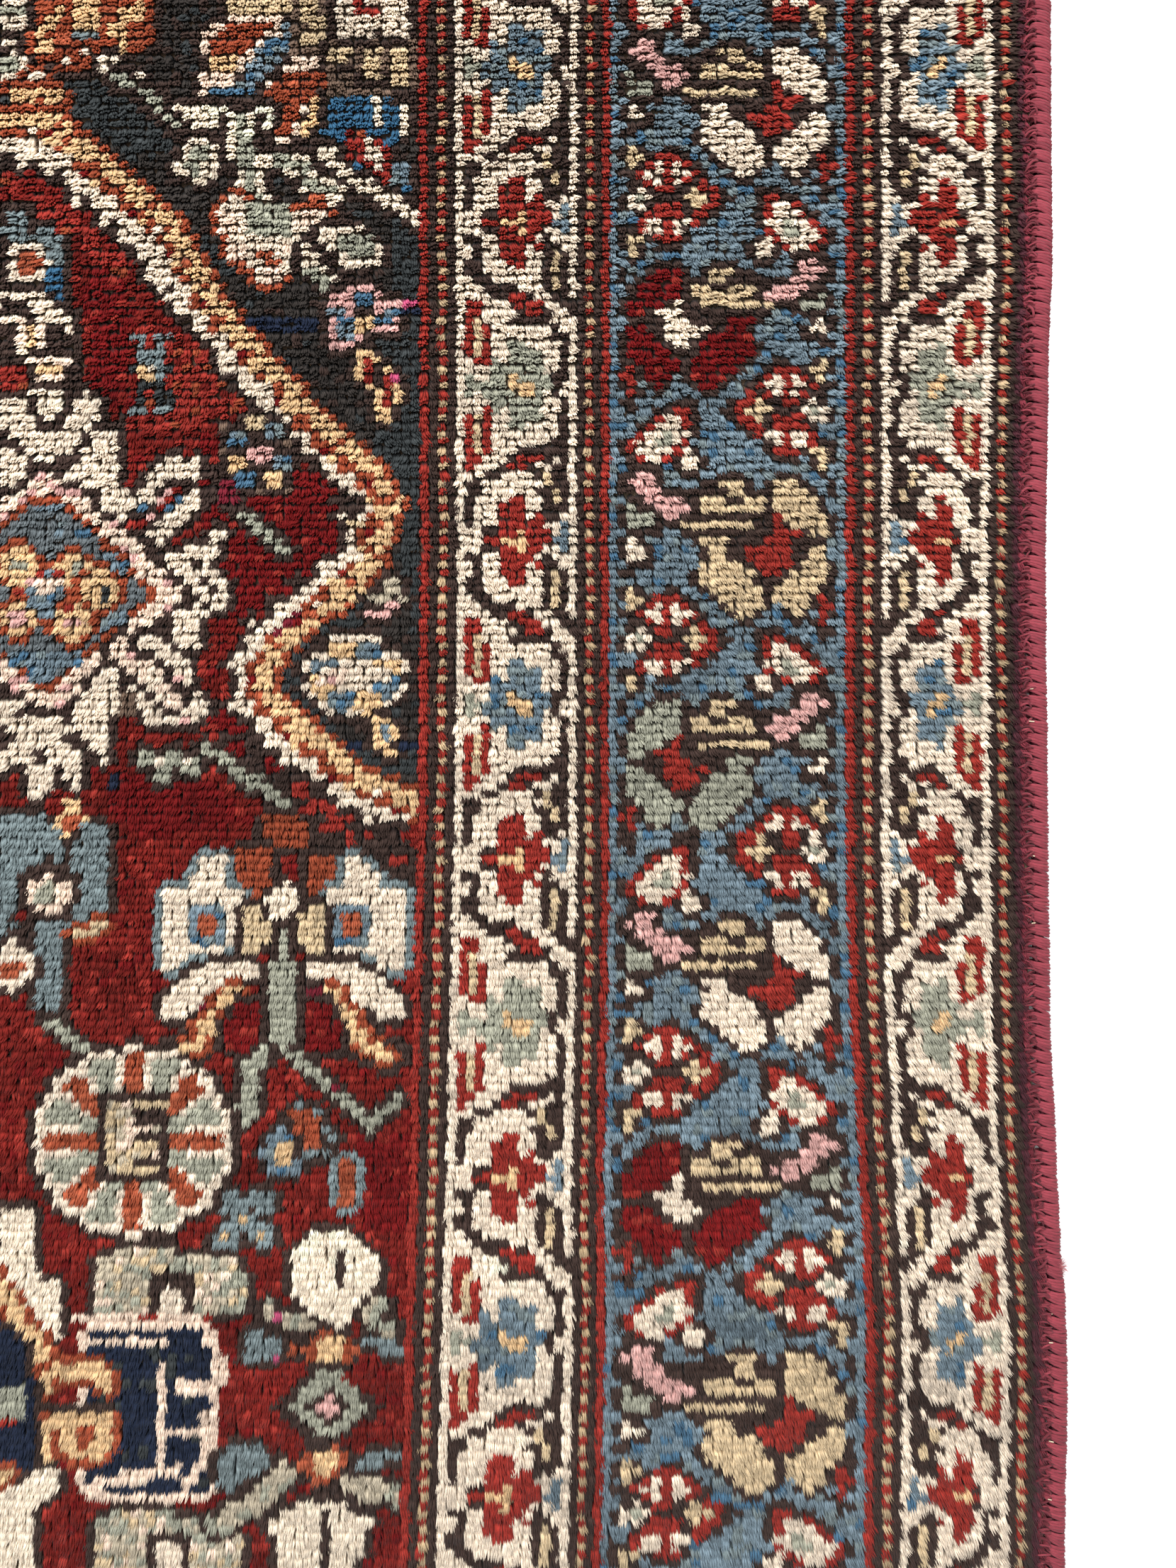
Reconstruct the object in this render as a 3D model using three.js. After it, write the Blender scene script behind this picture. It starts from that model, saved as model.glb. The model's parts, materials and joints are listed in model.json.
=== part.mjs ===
// A cut length of a hand-knotted wool rug, lying flat with its pile up.
// Millimetres. X runs across the rug, from the cut in the field to the overcast edge; Y runs along it; Z is up.
// The origin is the middle of the bounding box, on the surface that the rug lies on.
import * as THREE from 'three';

// Driving dimensions
const length = 630;            // along the edge, from one straight cut to the other
const fieldCutX = -207;        // the straight cut through the field
const foundation = 3;          // cotton warps and wefts under the pile
const pile = 6;                // wool pile above them
const cutRounding = 1.2;       // pile splays a little where it is cut through
const edgePile = 4;            // the pile's height where it meets the overcast edge
const edgeSlope = 5;           // the width over which the pile falls to that
const partingGap = 0.3;        // between the knotted rug and the yarn over its edge

// The overcast edge: yarn wound over the outermost warps, drawn tight in groups of strands
const cord = {
  width: 6.2,                  // across, seen from above
  height: 7,
  groups: 130,                 // stitches over the whole length
  grooveDepth: 0.5,            // how far the yarn pulls in between two groups
  slant: 0.3,                  // the strands drop this much for each millimetre outwards
  sides: 8,
  squareness: 2.5,             // 2 is an ellipse; more is flatter above and below
};

// The edge isn't straight: its outermost reach at places along the rug
const edgeRun = [
  { y: -315, reach: 206.2 },
  { y: -283, reach: 206.0 },
  { y: -235, reach: 207.0 },
  { y: -203, reach: 206.5 },
  { y: -170, reach: 204.0 },
  { y: -138, reach: 202.6 },
  { y: -92, reach: 200.5 },
  { y: -25, reach: 199.7 },
  { y: 82, reach: 198.7 },
  { y: 168, reach: 199.8 },
  { y: 200, reach: 201.2 },
  { y: 297, reach: 200.5 },
  { y: 315, reach: 200.2 },
];

// The edge's reach at any place along the rug, eased from each row of the table to the next
function reachAt(y) {
  const last = edgeRun.length - 1;
  if (y <= edgeRun[0].y) return edgeRun[0].reach;
  if (y >= edgeRun[last].y) return edgeRun[last].reach;
  const i = edgeRun.findIndex((row) => row.y > y);
  const from = edgeRun[i - 1];
  const to = edgeRun[i];
  return THREE.MathUtils.lerp(from.reach, to.reach, THREE.MathUtils.smoothstep(y, from.y, to.y));
}

// A closed body through sections with the same number of points each.
// A section is a ring of points, anticlockwise as seen from the -Y end; the sections follow each other along +Y.
function loft(sections) {
  const around = sections[0].length;
  const points = sections.flat();
  const faces = [];
  for (let s = 0; s < sections.length - 1; s++) {
    for (let k = 0; k < around; k++) {
      const a = s * around + k;
      const b = s * around + (k + 1) % around;
      faces.push(a, a + around, b + around, a, b + around, b);
    }
  }
  const farEnd = (sections.length - 1) * around;
  for (let k = 1; k < around - 1; k++) {
    faces.push(0, k, k + 1);
    faces.push(farEnd, farEnd + k + 1, farEnd + k);
  }
  const geometry = new THREE.BufferGeometry();
  geometry.setAttribute('position', new THREE.Float32BufferAttribute(points.flatMap((p) => p.toArray()), 3));
  geometry.setIndex(faces);
  geometry.computeVertexNormals();
  return geometry;
}

// The knotted rug: foundation and pile in one, flat, with its pile falling away at the overcast edge
function knottedRug() {
  const top = foundation + pile;
  const step = 15;
  const places = [-length / 2, -length / 2 + cutRounding];
  for (let y = -length / 2 + step; y < length / 2 - step / 2; y += step) places.push(y);
  places.push(length / 2 - cutRounding, length / 2);
  const section = (y) => {
    const atCut = Math.abs(y) > length / 2 - cutRounding / 2;
    const topHere = atCut ? top - cutRounding : top;
    const edge = reachAt(y) - cord.width - partingGap;
    return [
      new THREE.Vector3(fieldCutX, y, 0),
      new THREE.Vector3(edge, y, 0),
      new THREE.Vector3(edge, y, foundation + edgePile - 1),
      new THREE.Vector3(edge - 1, y, foundation + edgePile),
      new THREE.Vector3(edge - edgeSlope, y, topHere),
      new THREE.Vector3(fieldCutX + cutRounding, y, topHere),
      new THREE.Vector3(fieldCutX, y, topHere - cutRounding),
    ];
  };
  return loft(places.map(section));
}

// The overcast edge: an oval cord whose girth swells over each group of strands and pulls in between two
function overcastEdge() {
  const pitch = length / cord.groups;
  const shape = [              // along one group: its groove, and the two sides of its crest
    { along: 0, girth: 0 },
    { along: 0.3, girth: 1 },
    { along: 0.7, girth: 1 },
  ];
  const places = [];
  for (let g = 0; g < cord.groups; g++) {
    for (const row of shape) places.push({ y: -length / 2 + (g + row.along) * pitch, girth: row.girth });
  }
  places.push({ y: length / 2, girth: 0 });

  // The ends are cut square, so the strands' slant fades in over the first few stitches
  const slantAt = (y) => cord.slant * THREE.MathUtils.smoothstep(length / 2 - Math.abs(y), 0, 3 * pitch);
  const round = (value) => Math.sign(value) * Math.abs(value) ** (2 / cord.squareness);
  const flatSide = round(Math.cos(Math.PI / cord.sides));   // so that it lies on a flat side, at its full size
  return loft(places.map(({ y, girth }) => {
    const pull = cord.grooveDepth * (1 - girth);
    const middle = reachAt(y) - cord.width / 2;
    return Array.from({ length: cord.sides }, (_, k) => {
      const angle = -Math.PI / 2 + (k + 0.5) / cord.sides * 2 * Math.PI;
      const across = round(Math.cos(angle)) / flatSide * (cord.width / 2 - pull);
      const up = round(Math.sin(angle)) / flatSide * (cord.height / 2 - pull);
      return new THREE.Vector3(middle + across, y - slantAt(y) * across, cord.height / 2 + up);
    });
  }));
}

function node(name, geometry, color, roughness) {
  const mesh = new THREE.Mesh(geometry, new THREE.MeshStandardMaterial({ color, roughness, metalness: 0 }));
  mesh.name = name;
  return mesh;
}

const rug = new THREE.Group();
rug.add(node('knotted_rug', knottedRug(), 0x7a2a26, 0.95));
rug.add(node('overcast_edge', overcastEdge(), 0xb23a46, 0.9));

export default rug;
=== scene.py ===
# Hand-knotted Persian rug, a cut length 0.41 m wide and 0.63 m long with its real overcast edge on +X.
# The wool pile is planted knot by knot from a cartoon that is drawn below, one square for each knot.
import json
import math

import bpy
import numpy as np
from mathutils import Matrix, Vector

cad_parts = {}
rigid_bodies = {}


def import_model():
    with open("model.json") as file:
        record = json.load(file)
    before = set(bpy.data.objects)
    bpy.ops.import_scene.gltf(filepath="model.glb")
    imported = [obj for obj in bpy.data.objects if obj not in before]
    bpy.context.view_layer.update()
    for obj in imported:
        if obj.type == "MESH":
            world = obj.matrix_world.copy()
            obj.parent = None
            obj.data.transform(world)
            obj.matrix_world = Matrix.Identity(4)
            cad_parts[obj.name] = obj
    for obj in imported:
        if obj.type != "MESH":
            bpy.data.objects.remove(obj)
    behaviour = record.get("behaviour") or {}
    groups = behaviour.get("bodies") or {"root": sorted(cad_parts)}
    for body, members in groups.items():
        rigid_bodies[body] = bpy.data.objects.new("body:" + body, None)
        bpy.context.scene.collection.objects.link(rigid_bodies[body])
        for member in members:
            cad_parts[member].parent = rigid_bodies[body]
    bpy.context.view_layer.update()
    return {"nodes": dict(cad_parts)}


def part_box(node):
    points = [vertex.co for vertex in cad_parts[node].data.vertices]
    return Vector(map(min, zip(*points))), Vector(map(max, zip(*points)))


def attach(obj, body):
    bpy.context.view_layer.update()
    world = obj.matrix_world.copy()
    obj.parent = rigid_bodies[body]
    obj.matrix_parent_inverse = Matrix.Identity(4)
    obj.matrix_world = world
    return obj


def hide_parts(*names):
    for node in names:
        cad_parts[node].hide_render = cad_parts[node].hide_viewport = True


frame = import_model()
slabLow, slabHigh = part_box("knotted_rug")
mm = 0.001

# The photograph looks straight down through a wide lens, 0.45 m above the tips of the pile.
photo = {
    "view": math.radians(67),  # field of view of the long side
    "sensor": 36,              # millimetres
    "above": 0.4495,           # from the pile's top to the lens
    "centre": (0.0242, 0.0),   # the point of the rug in the middle of the picture
}


def makeCamera():
    data = bpy.data.cameras.new("camera")
    data.sensor_fit = "AUTO"
    data.sensor_width = photo["sensor"]
    data.lens = photo["sensor"] / 2 / math.tan(photo["view"] / 2)
    data.clip_start = 0.01
    camera = bpy.data.objects.new("camera", data)
    camera.location = (*photo["centre"], slabHigh.z + photo["above"])
    bpy.context.collection.objects.link(camera)
    bpy.context.scene.camera = camera


makeCamera()
print("camera ready")

# Wool as dyed, seen at the lit tips of the pile.
wool = {
    "night": "#383330", "slate": "#3b3f40", "navy": "#222a3d", "walnut": "#42332e", "bark": "#756052",
    "madder": "#741f1a", "garnet": "#731617", "poppy": "#98322a", "rust": "#9a4a31", "brick": "#ae5b3f",
    "ivory": "#ecdbc6", "milk": "#f1e1cb", "blush": "#f2d9c4", "tan": "#d4bd99", "gold": "#e1be91",
    "sky": "#7c898b", "sea": "#758690", "blue": "#4d6f88", "sage": "#a5a594", "mist": "#c1b59f",
    "rose": "#dbaca5", "pink": "#c5567c", "plum": "#74222f", "maroon": "#583038", "crimson": "#8f3d49",
    "straw": "#bda583", "azure": "#3a6482", "lead": "#686f72",
}
shades = list(wool)
# Letters that the charts below use.
letters = {
    "k": "walnut", "w": "ivory", "r": "poppy", "t": "tan", "b": "sea", "g": "sage", "y": "gold", "p": "rose",
    ".": "sea",
}

knotGrid = {
    "rows": 202,
    "fieldColumns": 48,
    "columns": 117,
    "seed": 4,
}
rows, columns = knotGrid["rows"], knotGrid["columns"]
rowPitch = (slabHigh.y - slabLow.y) / rows

# Where the bands run, in millimetres: the loom let them spread towards -Y.
bandTable = {
    "y": (-315, -205, -146, -87, -28, 90, 315),
    "innerLeft": (-34.0, -31.0, -29.4, -28.2, -26.5, -25.3, -26.3),
    "innerRight": (17.0, 19.2, 18.6, 20.0, 20.6, 20.6, 21.2),
    "outerLeft": (143.8, 144.8, 141.9, 138.6, 136.9, 137.0, 136.9),
}
# Columns where a band starts, and the stripes between the bands in millimetres.
bandColumns = (0, 48, 52, 66, 71, 95, 100, 112, 115, 117)
stripes = {"fieldToInner": 14.0, "innerToMain": 15.3, "mainToOuter": 17.2, "outerGuard": 14.4,
           "lastBeads": 9.2, "edgeGap": 0.2}


def slabWall():
    # the slab's +X wall: places along Y, and x there
    corners = np.array([v.co[:] for v in frame["nodes"]["knotted_rug"].data.vertices])
    wall = corners[(corners[:, 2] < mm) & (corners[:, 0] > 0)]
    wall = wall[np.argsort(wall[:, 1])]
    return wall[:, 1], wall[:, 0]


wallY, wallX = slabWall()


def columnX(c, y):
    # x in metres of the line c columns from the left cut, at y metres
    at = {name: np.interp(y / mm, bandTable["y"], bandTable[name]) for name in bandTable if name != "y"}
    wall = np.interp(y, wallY, wallX) / mm
    outerRight = wall - stripes["outerGuard"]
    places = (
        slabLow.x / mm,
        at["innerLeft"] - stripes["fieldToInner"],
        at["innerLeft"],
        at["innerRight"],
        at["innerRight"] + stripes["innerToMain"],
        at["outerLeft"] - stripes["mainToOuter"],
        at["outerLeft"],
        outerRight,
        outerRight + stripes["lastBeads"],
        wall - stripes["edgeGap"],
    )
    return np.interp(c, bandColumns, places) * mm


# The cartoon holds the yarn of each knot. The drawing functions fill a layer, and settle() lays it down.
cartoon = np.zeros((rows, columns), int)
layer = np.full((rows, columns), -1)
knotC, knotR = np.meshgrid(np.arange(columns) + 0.5, np.arange(rows) + 0.5)


def fill(shade, *points):
    inside = np.zeros(layer.shape, bool)
    for (c0, r0), (c1, r1) in zip(points, points[1:] + points[:1]):
        if r0 == r1:
            continue
        crossed = (knotR >= min(r0, r1)) & (knotR < max(r0, r1))
        inside ^= crossed & (knotC < c0 + (knotR - r0) * (c1 - c0) / (r1 - r0))
    layer[inside] = shades.index(shade)


def line(shade, width, *points):
    for (c0, r0), (c1, r1) in zip(points, points[1:]):
        span = max((c1 - c0) ** 2 + (r1 - r0) ** 2, 1e-9)
        along = np.clip(((knotC - c0) * (c1 - c0) + (knotR - r0) * (r1 - r0)) / span, 0, 1)
        away = np.hypot(knotC - c0 - along * (c1 - c0), knotR - r0 - along * (r1 - r0))
        layer[away <= width / 2] = shades.index(shade)


def block(shade, *boxes):
    for c0, c1, r0, r1 in boxes:
        inside = (knotC > c0 - 0.01) & (knotC < c1 + 0.01) & (knotR > r0 - 0.01) & (knotR < r1 + 0.01)
        layer[inside] = shades.index(shade)


def disc(shade, c, r, radius, tall=1.0):
    layer[np.hypot(knotC - c, (knotR - r) / tall) <= radius] = shades.index(shade)


def dots(shade, *points):
    for c, r in points:
        layer[int(r), int(c)] = shades.index(shade)


def settle(edge=None):
    # lays the layer on the cartoon, with an outline one knot wide where an edge is named
    drawn = layer >= 0
    if edge:
        near = np.zeros_like(drawn)
        near[1:] |= drawn[:-1]
        near[:-1] |= drawn[1:]
        near[:, 1:] |= drawn[:, :-1]
        near[:, :-1] |= drawn[:, 1:]
        near[:, knotGrid["fieldColumns"]:] = False
        cartoon[near & ~drawn] = shades.index(edge)
    cartoon[drawn] = layer[drawn]
    layer[:] = -1


def chartRow(text, swap={}):
    return [shades.index(swap.get(letter) or letters[letter]) for letter in text]


def grounds():
    block("night", (0, 48, 0, rows))
    settle()
    fill("madder", (0, 20), (8, 20), (21, 32), (25, 41), (36, 55), (44, 64), (45, 70), (42, 76), (33, 85),
         (31, 88), (33, 93), (40, 99), (48, 104), (48, 202), (0, 202))
    settle()
    # shades in the madder and the dark ground, as the dye lots took
    fill("garnet", (11.6, 36), (16, 38), (16.6, 44), (15.4, 54), (12, 54), (11.4, 44))
    fill("garnet", (24, 58), (38, 64), (40, 72), (34, 78), (28, 82), (24, 76))
    fill("garnet", (14, 100), (26, 101), (30, 106), (18, 108), (14, 104))
    fill("garnet", (42, 146), (48, 144), (48, 156), (43, 156))
    fill("poppy", (17, 45), (22, 46), (26, 49), (29, 53), (30, 56), (24, 58), (17, 58))
    fill("poppy", (11, 33), (13, 33), (13.4, 35.6), (15.8, 36), (15.6, 39), (11, 37))
    fill("poppy", (2, 25), (4.4, 25), (4.4, 29), (2, 29))
    fill("slate", (9, 15), (14, 15), (21, 20), (27, 21), (26, 24), (16, 24), (10.6, 20))
    fill("slate", (43, 49), (45.4, 44), (45.4, 28), (48, 28), (48, 81), (45.6, 80), (46.4, 66), (43, 60))
    fill("slate", (38, 78), (43, 75), (42, 82), (37, 84))
    fill("slate", (23.6, 34), (26.6, 35), (28.6, 39), (26, 39), (24, 37))
    fill("navy", (28, 44), (37, 44), (37, 45.6), (29, 45.6))
    fill("navy", (39, 95.8), (48, 95.8), (48, 97.2), (40, 97.2))
    fill("slate", (40, 97.4), (48, 97.4), (48, 100), (42, 99.4))
    fill("slate", (33, 85), (37, 84), (36, 92), (40, 94), (37, 94.6), (33, 90))
    fill("walnut", (25, 94), (30, 93.4), (38, 101), (48, 109.6), (48, 114), (37, 111), (36, 104),
         (30, 101.6), (25, 97))
    settle()
    block("garnet", (25, 29, 92, 95.4), (31, 33.4, 95.4, 98), (31, 35, 98, 100), (26, 29, 95.8, 98))
    block("poppy", (33.8, 36.4, 101, 102.6), (36, 39, 102.6, 105), (38.4, 41.4, 104, 105.6),
          (37, 39.6, 106, 107.2), (40, 41.4, 107, 109.4), (42, 43.2, 106.4, 108.4), (24, 26, 94, 96),
          (45, 47, 110, 111.4))
    settle()


# The medallion's edge, from the upper left out to the right, back in, and out again.
medallionEdge = [(2, 20), (8.3, 20.4), (9.6, 22.2), (13, 25.4), (21, 33.2), (24.5, 40.6), (29.5, 48),
                 (36, 56), (43, 63), (44.9, 67), (43.6, 69.5), (43.3, 73.5), (40.5, 77), (33, 84.3),
                 (31.2, 86.5), (31.2, 90), (34, 93.6), (41, 100), (48, 103.7)]


def beside(path, inset, step):
    # points every so many knots along a path, set in from it towards the medallion
    places = []
    for (c0, r0), (c1, r1) in zip(path, path[1:]):
        away = math.hypot(c1 - c0, r1 - r0)
        count = max(round(away / step), 1)
        for part in range(count):
            along = part / count
            places.append((c0 + along * (c1 - c0) - inset * (r1 - r0) / away,
                           r0 + along * (r1 - r0) + inset * (c1 - c0) / away))
    return places


def serratedBand():
    line("ivory", 1.9, *beside(medallionEdge, 2.4, 1))
    line("ivory", 3.2, (3, 22.6), (7.6, 23), (16, 30.8), (19.4, 34.4), (19.4, 38.6))
    for place, (c, r) in enumerate(beside(medallionEdge, 3, 3.6)):
        fill("ivory", (c - 1.7, r - 1), (c + 1.5, r - 0.4), (c - 0.4, r + (3.4 if place < 9 else 1.6)))
    settle("walnut")
    line("gold", 2.2, *medallionEdge)
    settle("rust")
    for place, (c, r) in enumerate(beside(medallionEdge, 1.5, 1.45)):
        dots(("gold", "rust", "ivory", "rust", "garnet")[place % 5], (c, r))
    for c, r in beside(medallionEdge, 0.3, 4.3):
        dots("brick", (c, r))
    line("plum", 1, (32.4, 82.4), (34.8, 80.2))
    settle()


def topLeftCorner():
    fill("rust", (4.5, 0), (19.2, 0), (19.2, 10.6), (16.8, 11.6), (15.4, 13.4), (8.5, 13.6), (6.8, 12),
         (4.4, 10.8))
    settle("walnut")
    block("brick", (8, 10, 9, 11), (13.4, 15, 6, 8), (16, 18, 9.4, 10.6), (5, 7, 6, 7))
    block("sky", (9.7, 13.3, 2, 10.3))
    block("sea", (9.7, 10.4, 7.4, 9.2), (12.6, 13.4, 8, 9.4))
    block("gold", (10.5, 12.5, 3, 9.3))
    line("gold", 1.5, (8.4, 6.6), (8.6, 7.4), (6.2, 8.8), (6.4, 10.4), (7.8, 11.8))
    line("gold", 1.5, (17.8, 6), (17.4, 6.8), (15.6, 7.2))
    line("gold", 1.5, (14.8, 8.6), (15.2, 9.6), (15.8, 10.8), (14.2, 12), (12.8, 12.6))
    block("ivory", (9, 10.4, 12, 13), (10.6, 12, 11, 12))
    settle("rust")
    block("ivory", (2, 4.5, 5, 8.6), (2, 4, 10, 11.4), (3.2, 4.4, 11, 12.4), (2, 3.8, 13.6, 15),
          (4.3, 5.4, 12.4, 14.2))
    block("sage", (2, 4.5, 6.3, 7.4), (2, 3.6, 11.8, 13.6))
    settle("walnut")
    dots("ivory", (5.5, 14), (6, 14))
    fill("gold", (3.4, 15.8), (9.4, 15.8), (9.4, 18.6), (8.5, 20.4), (1, 20.4), (1, 19.2), (3.4, 19.2))
    block("rust", (5.8, 7.4, 16.8, 18.4), (2, 4.6, 18, 19.2), (2, 3.4, 15.6, 17.2))
    dots("slate", (2.5, 17.6), (3, 18.2))
    settle("rust")
    line("milk", 2.8, (14, 13.6), (18, 16.4), (21, 19.4), (31, 19.4))
    block("milk", (20.6, 22.2, 20.4, 22))
    settle("walnut")
    line("sage", 1.1, (14.6, 14.4), (18.4, 17), (21.4, 20.4))
    fill("milk", (23.4, 22.4), (25.4, 22.4), (26, 23.4), (27.2, 24.7), (25.6, 24.7), (25.4, 28.4),
         (23.4, 28.3), (22.4, 26.7), (20.8, 26.7), (22, 24.4), (22.4, 23.4))
    fill("sage", (23.4, 23.4), (25, 23.4), (24.3, 25), (24.5, 27), (23.6, 27.3), (22.4, 25.7))
    settle("walnut")


def upperPalmettes():
    # two rust fans with pale rims and blue cheeks
    block("tan", (27.2, 34, 0, 7))
    block("blush", (27.2, 33.4, 7, 8.2))
    fill("rust", (27, 8.2), (32.2, 8.2), (31, 9.6), (30, 11), (28.6, 12.2), (25.4, 12.2), (25, 10.2),
         (26.2, 9.2))
    fill("sea", (33, 8), (34.3, 8), (34.3, 12.6), (32.8, 14.4), (31, 16), (28.2, 15.8), (29, 12.6), (31, 9.6))
    block("blue", (25.2, 31, 15.8, 16.8))
    fill("gold", (25.4, 12.4), (28.4, 12.4), (28, 14.7), (25.2, 14.7))
    line("blush", 1.3, (26.4, 8.4), (25.6, 9.4), (24.4, 10.4), (24.4, 11.8))
    line("blush", 1.2, (32.6, 8.8), (30.6, 10.2), (29.4, 11.6), (28.6, 13))
    line("blush", 1.2, (28, 15), (24.8, 15), (24.4, 16.4))
    block("blush", (26.4, 31.3, 16.8, 19.4))
    block("milk", (24.4, 26.4, 17, 17.8))
    block("gold", (27.4, 29.8, 17, 18))
    settle("walnut")
    block("blush", (34.4, 37, 12, 13), (33, 37, 13, 14))
    fill("rust", (33, 14), (38.4, 14), (37.6, 16), (37.4, 17), (36, 18.2), (35.2, 19.6), (34.4, 21.8),
         (32.2, 21.8), (31.2, 19.6), (31.2, 16.4), (32.2, 15))
    block("brick", (31.2, 32.4, 17.6, 19.4), (34, 35, 15, 16))
    block("gold", (36, 37.2, 17.4, 20), (35, 37.4, 20, 21.8))
    block("blush", (31.2, 32.3, 14.6, 16.4), (31.2, 32.2, 19.6, 22.4), (32.2, 34.4, 21.8, 24),
          (38.2, 39.3, 14, 15.6), (37.2, 38.4, 16, 21.6), (35.2, 36.2, 17.6, 18.8),
          (34.4, 35.2, 19.8, 21.6), (35.6, 38.2, 21.8, 22.9))
    settle("walnut")
    block("azure", (38.3, 42.6, 15.8, 22), (43.6, 45.8, 16.2, 22.8), (39.2, 40.6, 13.8, 15.8),
          (37.4, 41, 21.4, 23), (41, 45.8, 21, 23), (39.4, 42, 24, 26), (45, 47.4, 26.6, 31.4))
    block("sea", (40.6, 42.6, 15.8, 16.8), (41, 44.4, 26, 28.6), (44.4, 47.4, 25.4, 28))
    block("milk", (42.6, 43.7, 15.4, 21.2), (45.7, 47, 17.5, 19.6), (45.8, 46.8, 19.6, 22.2))
    fill("poppy", (40.2, 21.2), (41.6, 21.2), (41.8, 22.2), (43.6, 22.4), (45.1, 23.4), (45.1, 27.6),
         (44, 27.6), (42.6, 26.4), (42.4, 25.6), (40.2, 25.2))
    block("ivory", (41.6, 42.6, 22.4, 24.8), (42.6, 43.9, 23.5, 25.6))
    settle("walnut")
    line("milk", 1.5, (37.6, 23.6), (41, 27.3), (43.4, 28.9), (47.5, 31.8))
    settle("walnut")
    block("bark", (34.4, 47.6, 0, 11.6), (38.2, 47.6, 11, 16.6))
    settle()
    block("walnut", (37.2, 38.2, 9.8, 14), (39.2, 41.4, 12.6, 14.2), (40.6, 45, 14.4, 15.7),
          (45, 47.6, 16.2, 17.6))
    block("tan", (35, 37, 5, 8), (36.4, 38.2, 7, 8.8), (35, 38, 8.8, 10.2), (35, 37, 10, 11),
          (38, 39.6, 11, 12.8), (41.6, 43.6, 10.6, 14.6), (45, 46.6, 11, 16.2), (39.6, 40.6, 10.8, 11.8))
    settle()
    fill("ivory", (39, 0), (47, 0), (47, 9.9), (43.8, 9.9), (43.8, 9.3), (42.8, 9.8), (39, 9.8))
    block("poppy", (41.4, 44.4, 0, 6.6))
    dots("ivory", (42.6, 5.4), (43.2, 5.4))
    settle("walnut")


def creamFlower():
    fill("milk", (27.2, 19.4), (30.4, 19.4), (30.4, 24.2), (34, 24.2), (36.2, 24.6), (36.4, 26.4),
         (38.8, 27), (40.4, 29.6), (38.4, 30.6), (36, 29.4), (34.4, 27), (32.6, 26), (30.8, 25.4), (31, 27),
         (31.8, 29.4), (33.6, 30.6), (33.6, 31.4), (28.2, 31.4), (28, 25.6), (27.2, 25))
    settle("walnut")
    line("sage", 1.3, (28.8, 20), (28.9, 25), (29.7, 28), (30.3, 31))
    line("sage", 1.4, (32.6, 24.9), (34.8, 25.6), (36.6, 28), (38.6, 28.8))
    settle()
    fill("ivory", (26, 29.8), (28.6, 29.2), (30, 31), (33.5, 31), (36, 30.4), (37.7, 30.8), (37.5, 33),
         (36.2, 34), (35.4, 36.4), (34.2, 38.6), (32.2, 40), (30.4, 40), (29.2, 38.2), (27.4, 36.8),
         (26.8, 34.6), (25.9, 33.6))
    settle("rust")
    block("blush", (26, 28, 31, 33.6), (34.6, 37, 31, 33), (27.4, 29, 34.6, 36.6), (33, 35, 34.8, 36.2),
          (31, 33, 38, 39.8))
    block("sage", (29.4, 33.6, 30.2, 34.2))
    dots("brick", (28.6, 37.6), (34.6, 37.2), (30.4, 36.4), (31.4, 37), (31.8, 36.6), (32.4, 37.4),
         (27.2, 37.4), (29.8, 38.8), (36.4, 29.6), (37.4, 29.6), (35.5, 30), (26.5, 29), (27.5, 28.9))
    settle()
    line("milk", 1.5, (35.8, 36), (35.9, 37.8), (38, 39.6), (39.8, 40.8))
    line("sage", 1.5, (36, 38.4), (38, 40.8))
    settle("walnut")
    fill("ivory", (36.4, 33), (42.1, 33), (43.2, 34.4), (44, 35.4), (43.8, 37.9), (39.4, 37.9),
         (38.6, 35.6), (37.2, 35.4))
    block("sage", (38.6, 42.6, 34.5, 35.6), (39.7, 42.8, 35.6, 36.6))
    settle("walnut")


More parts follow.
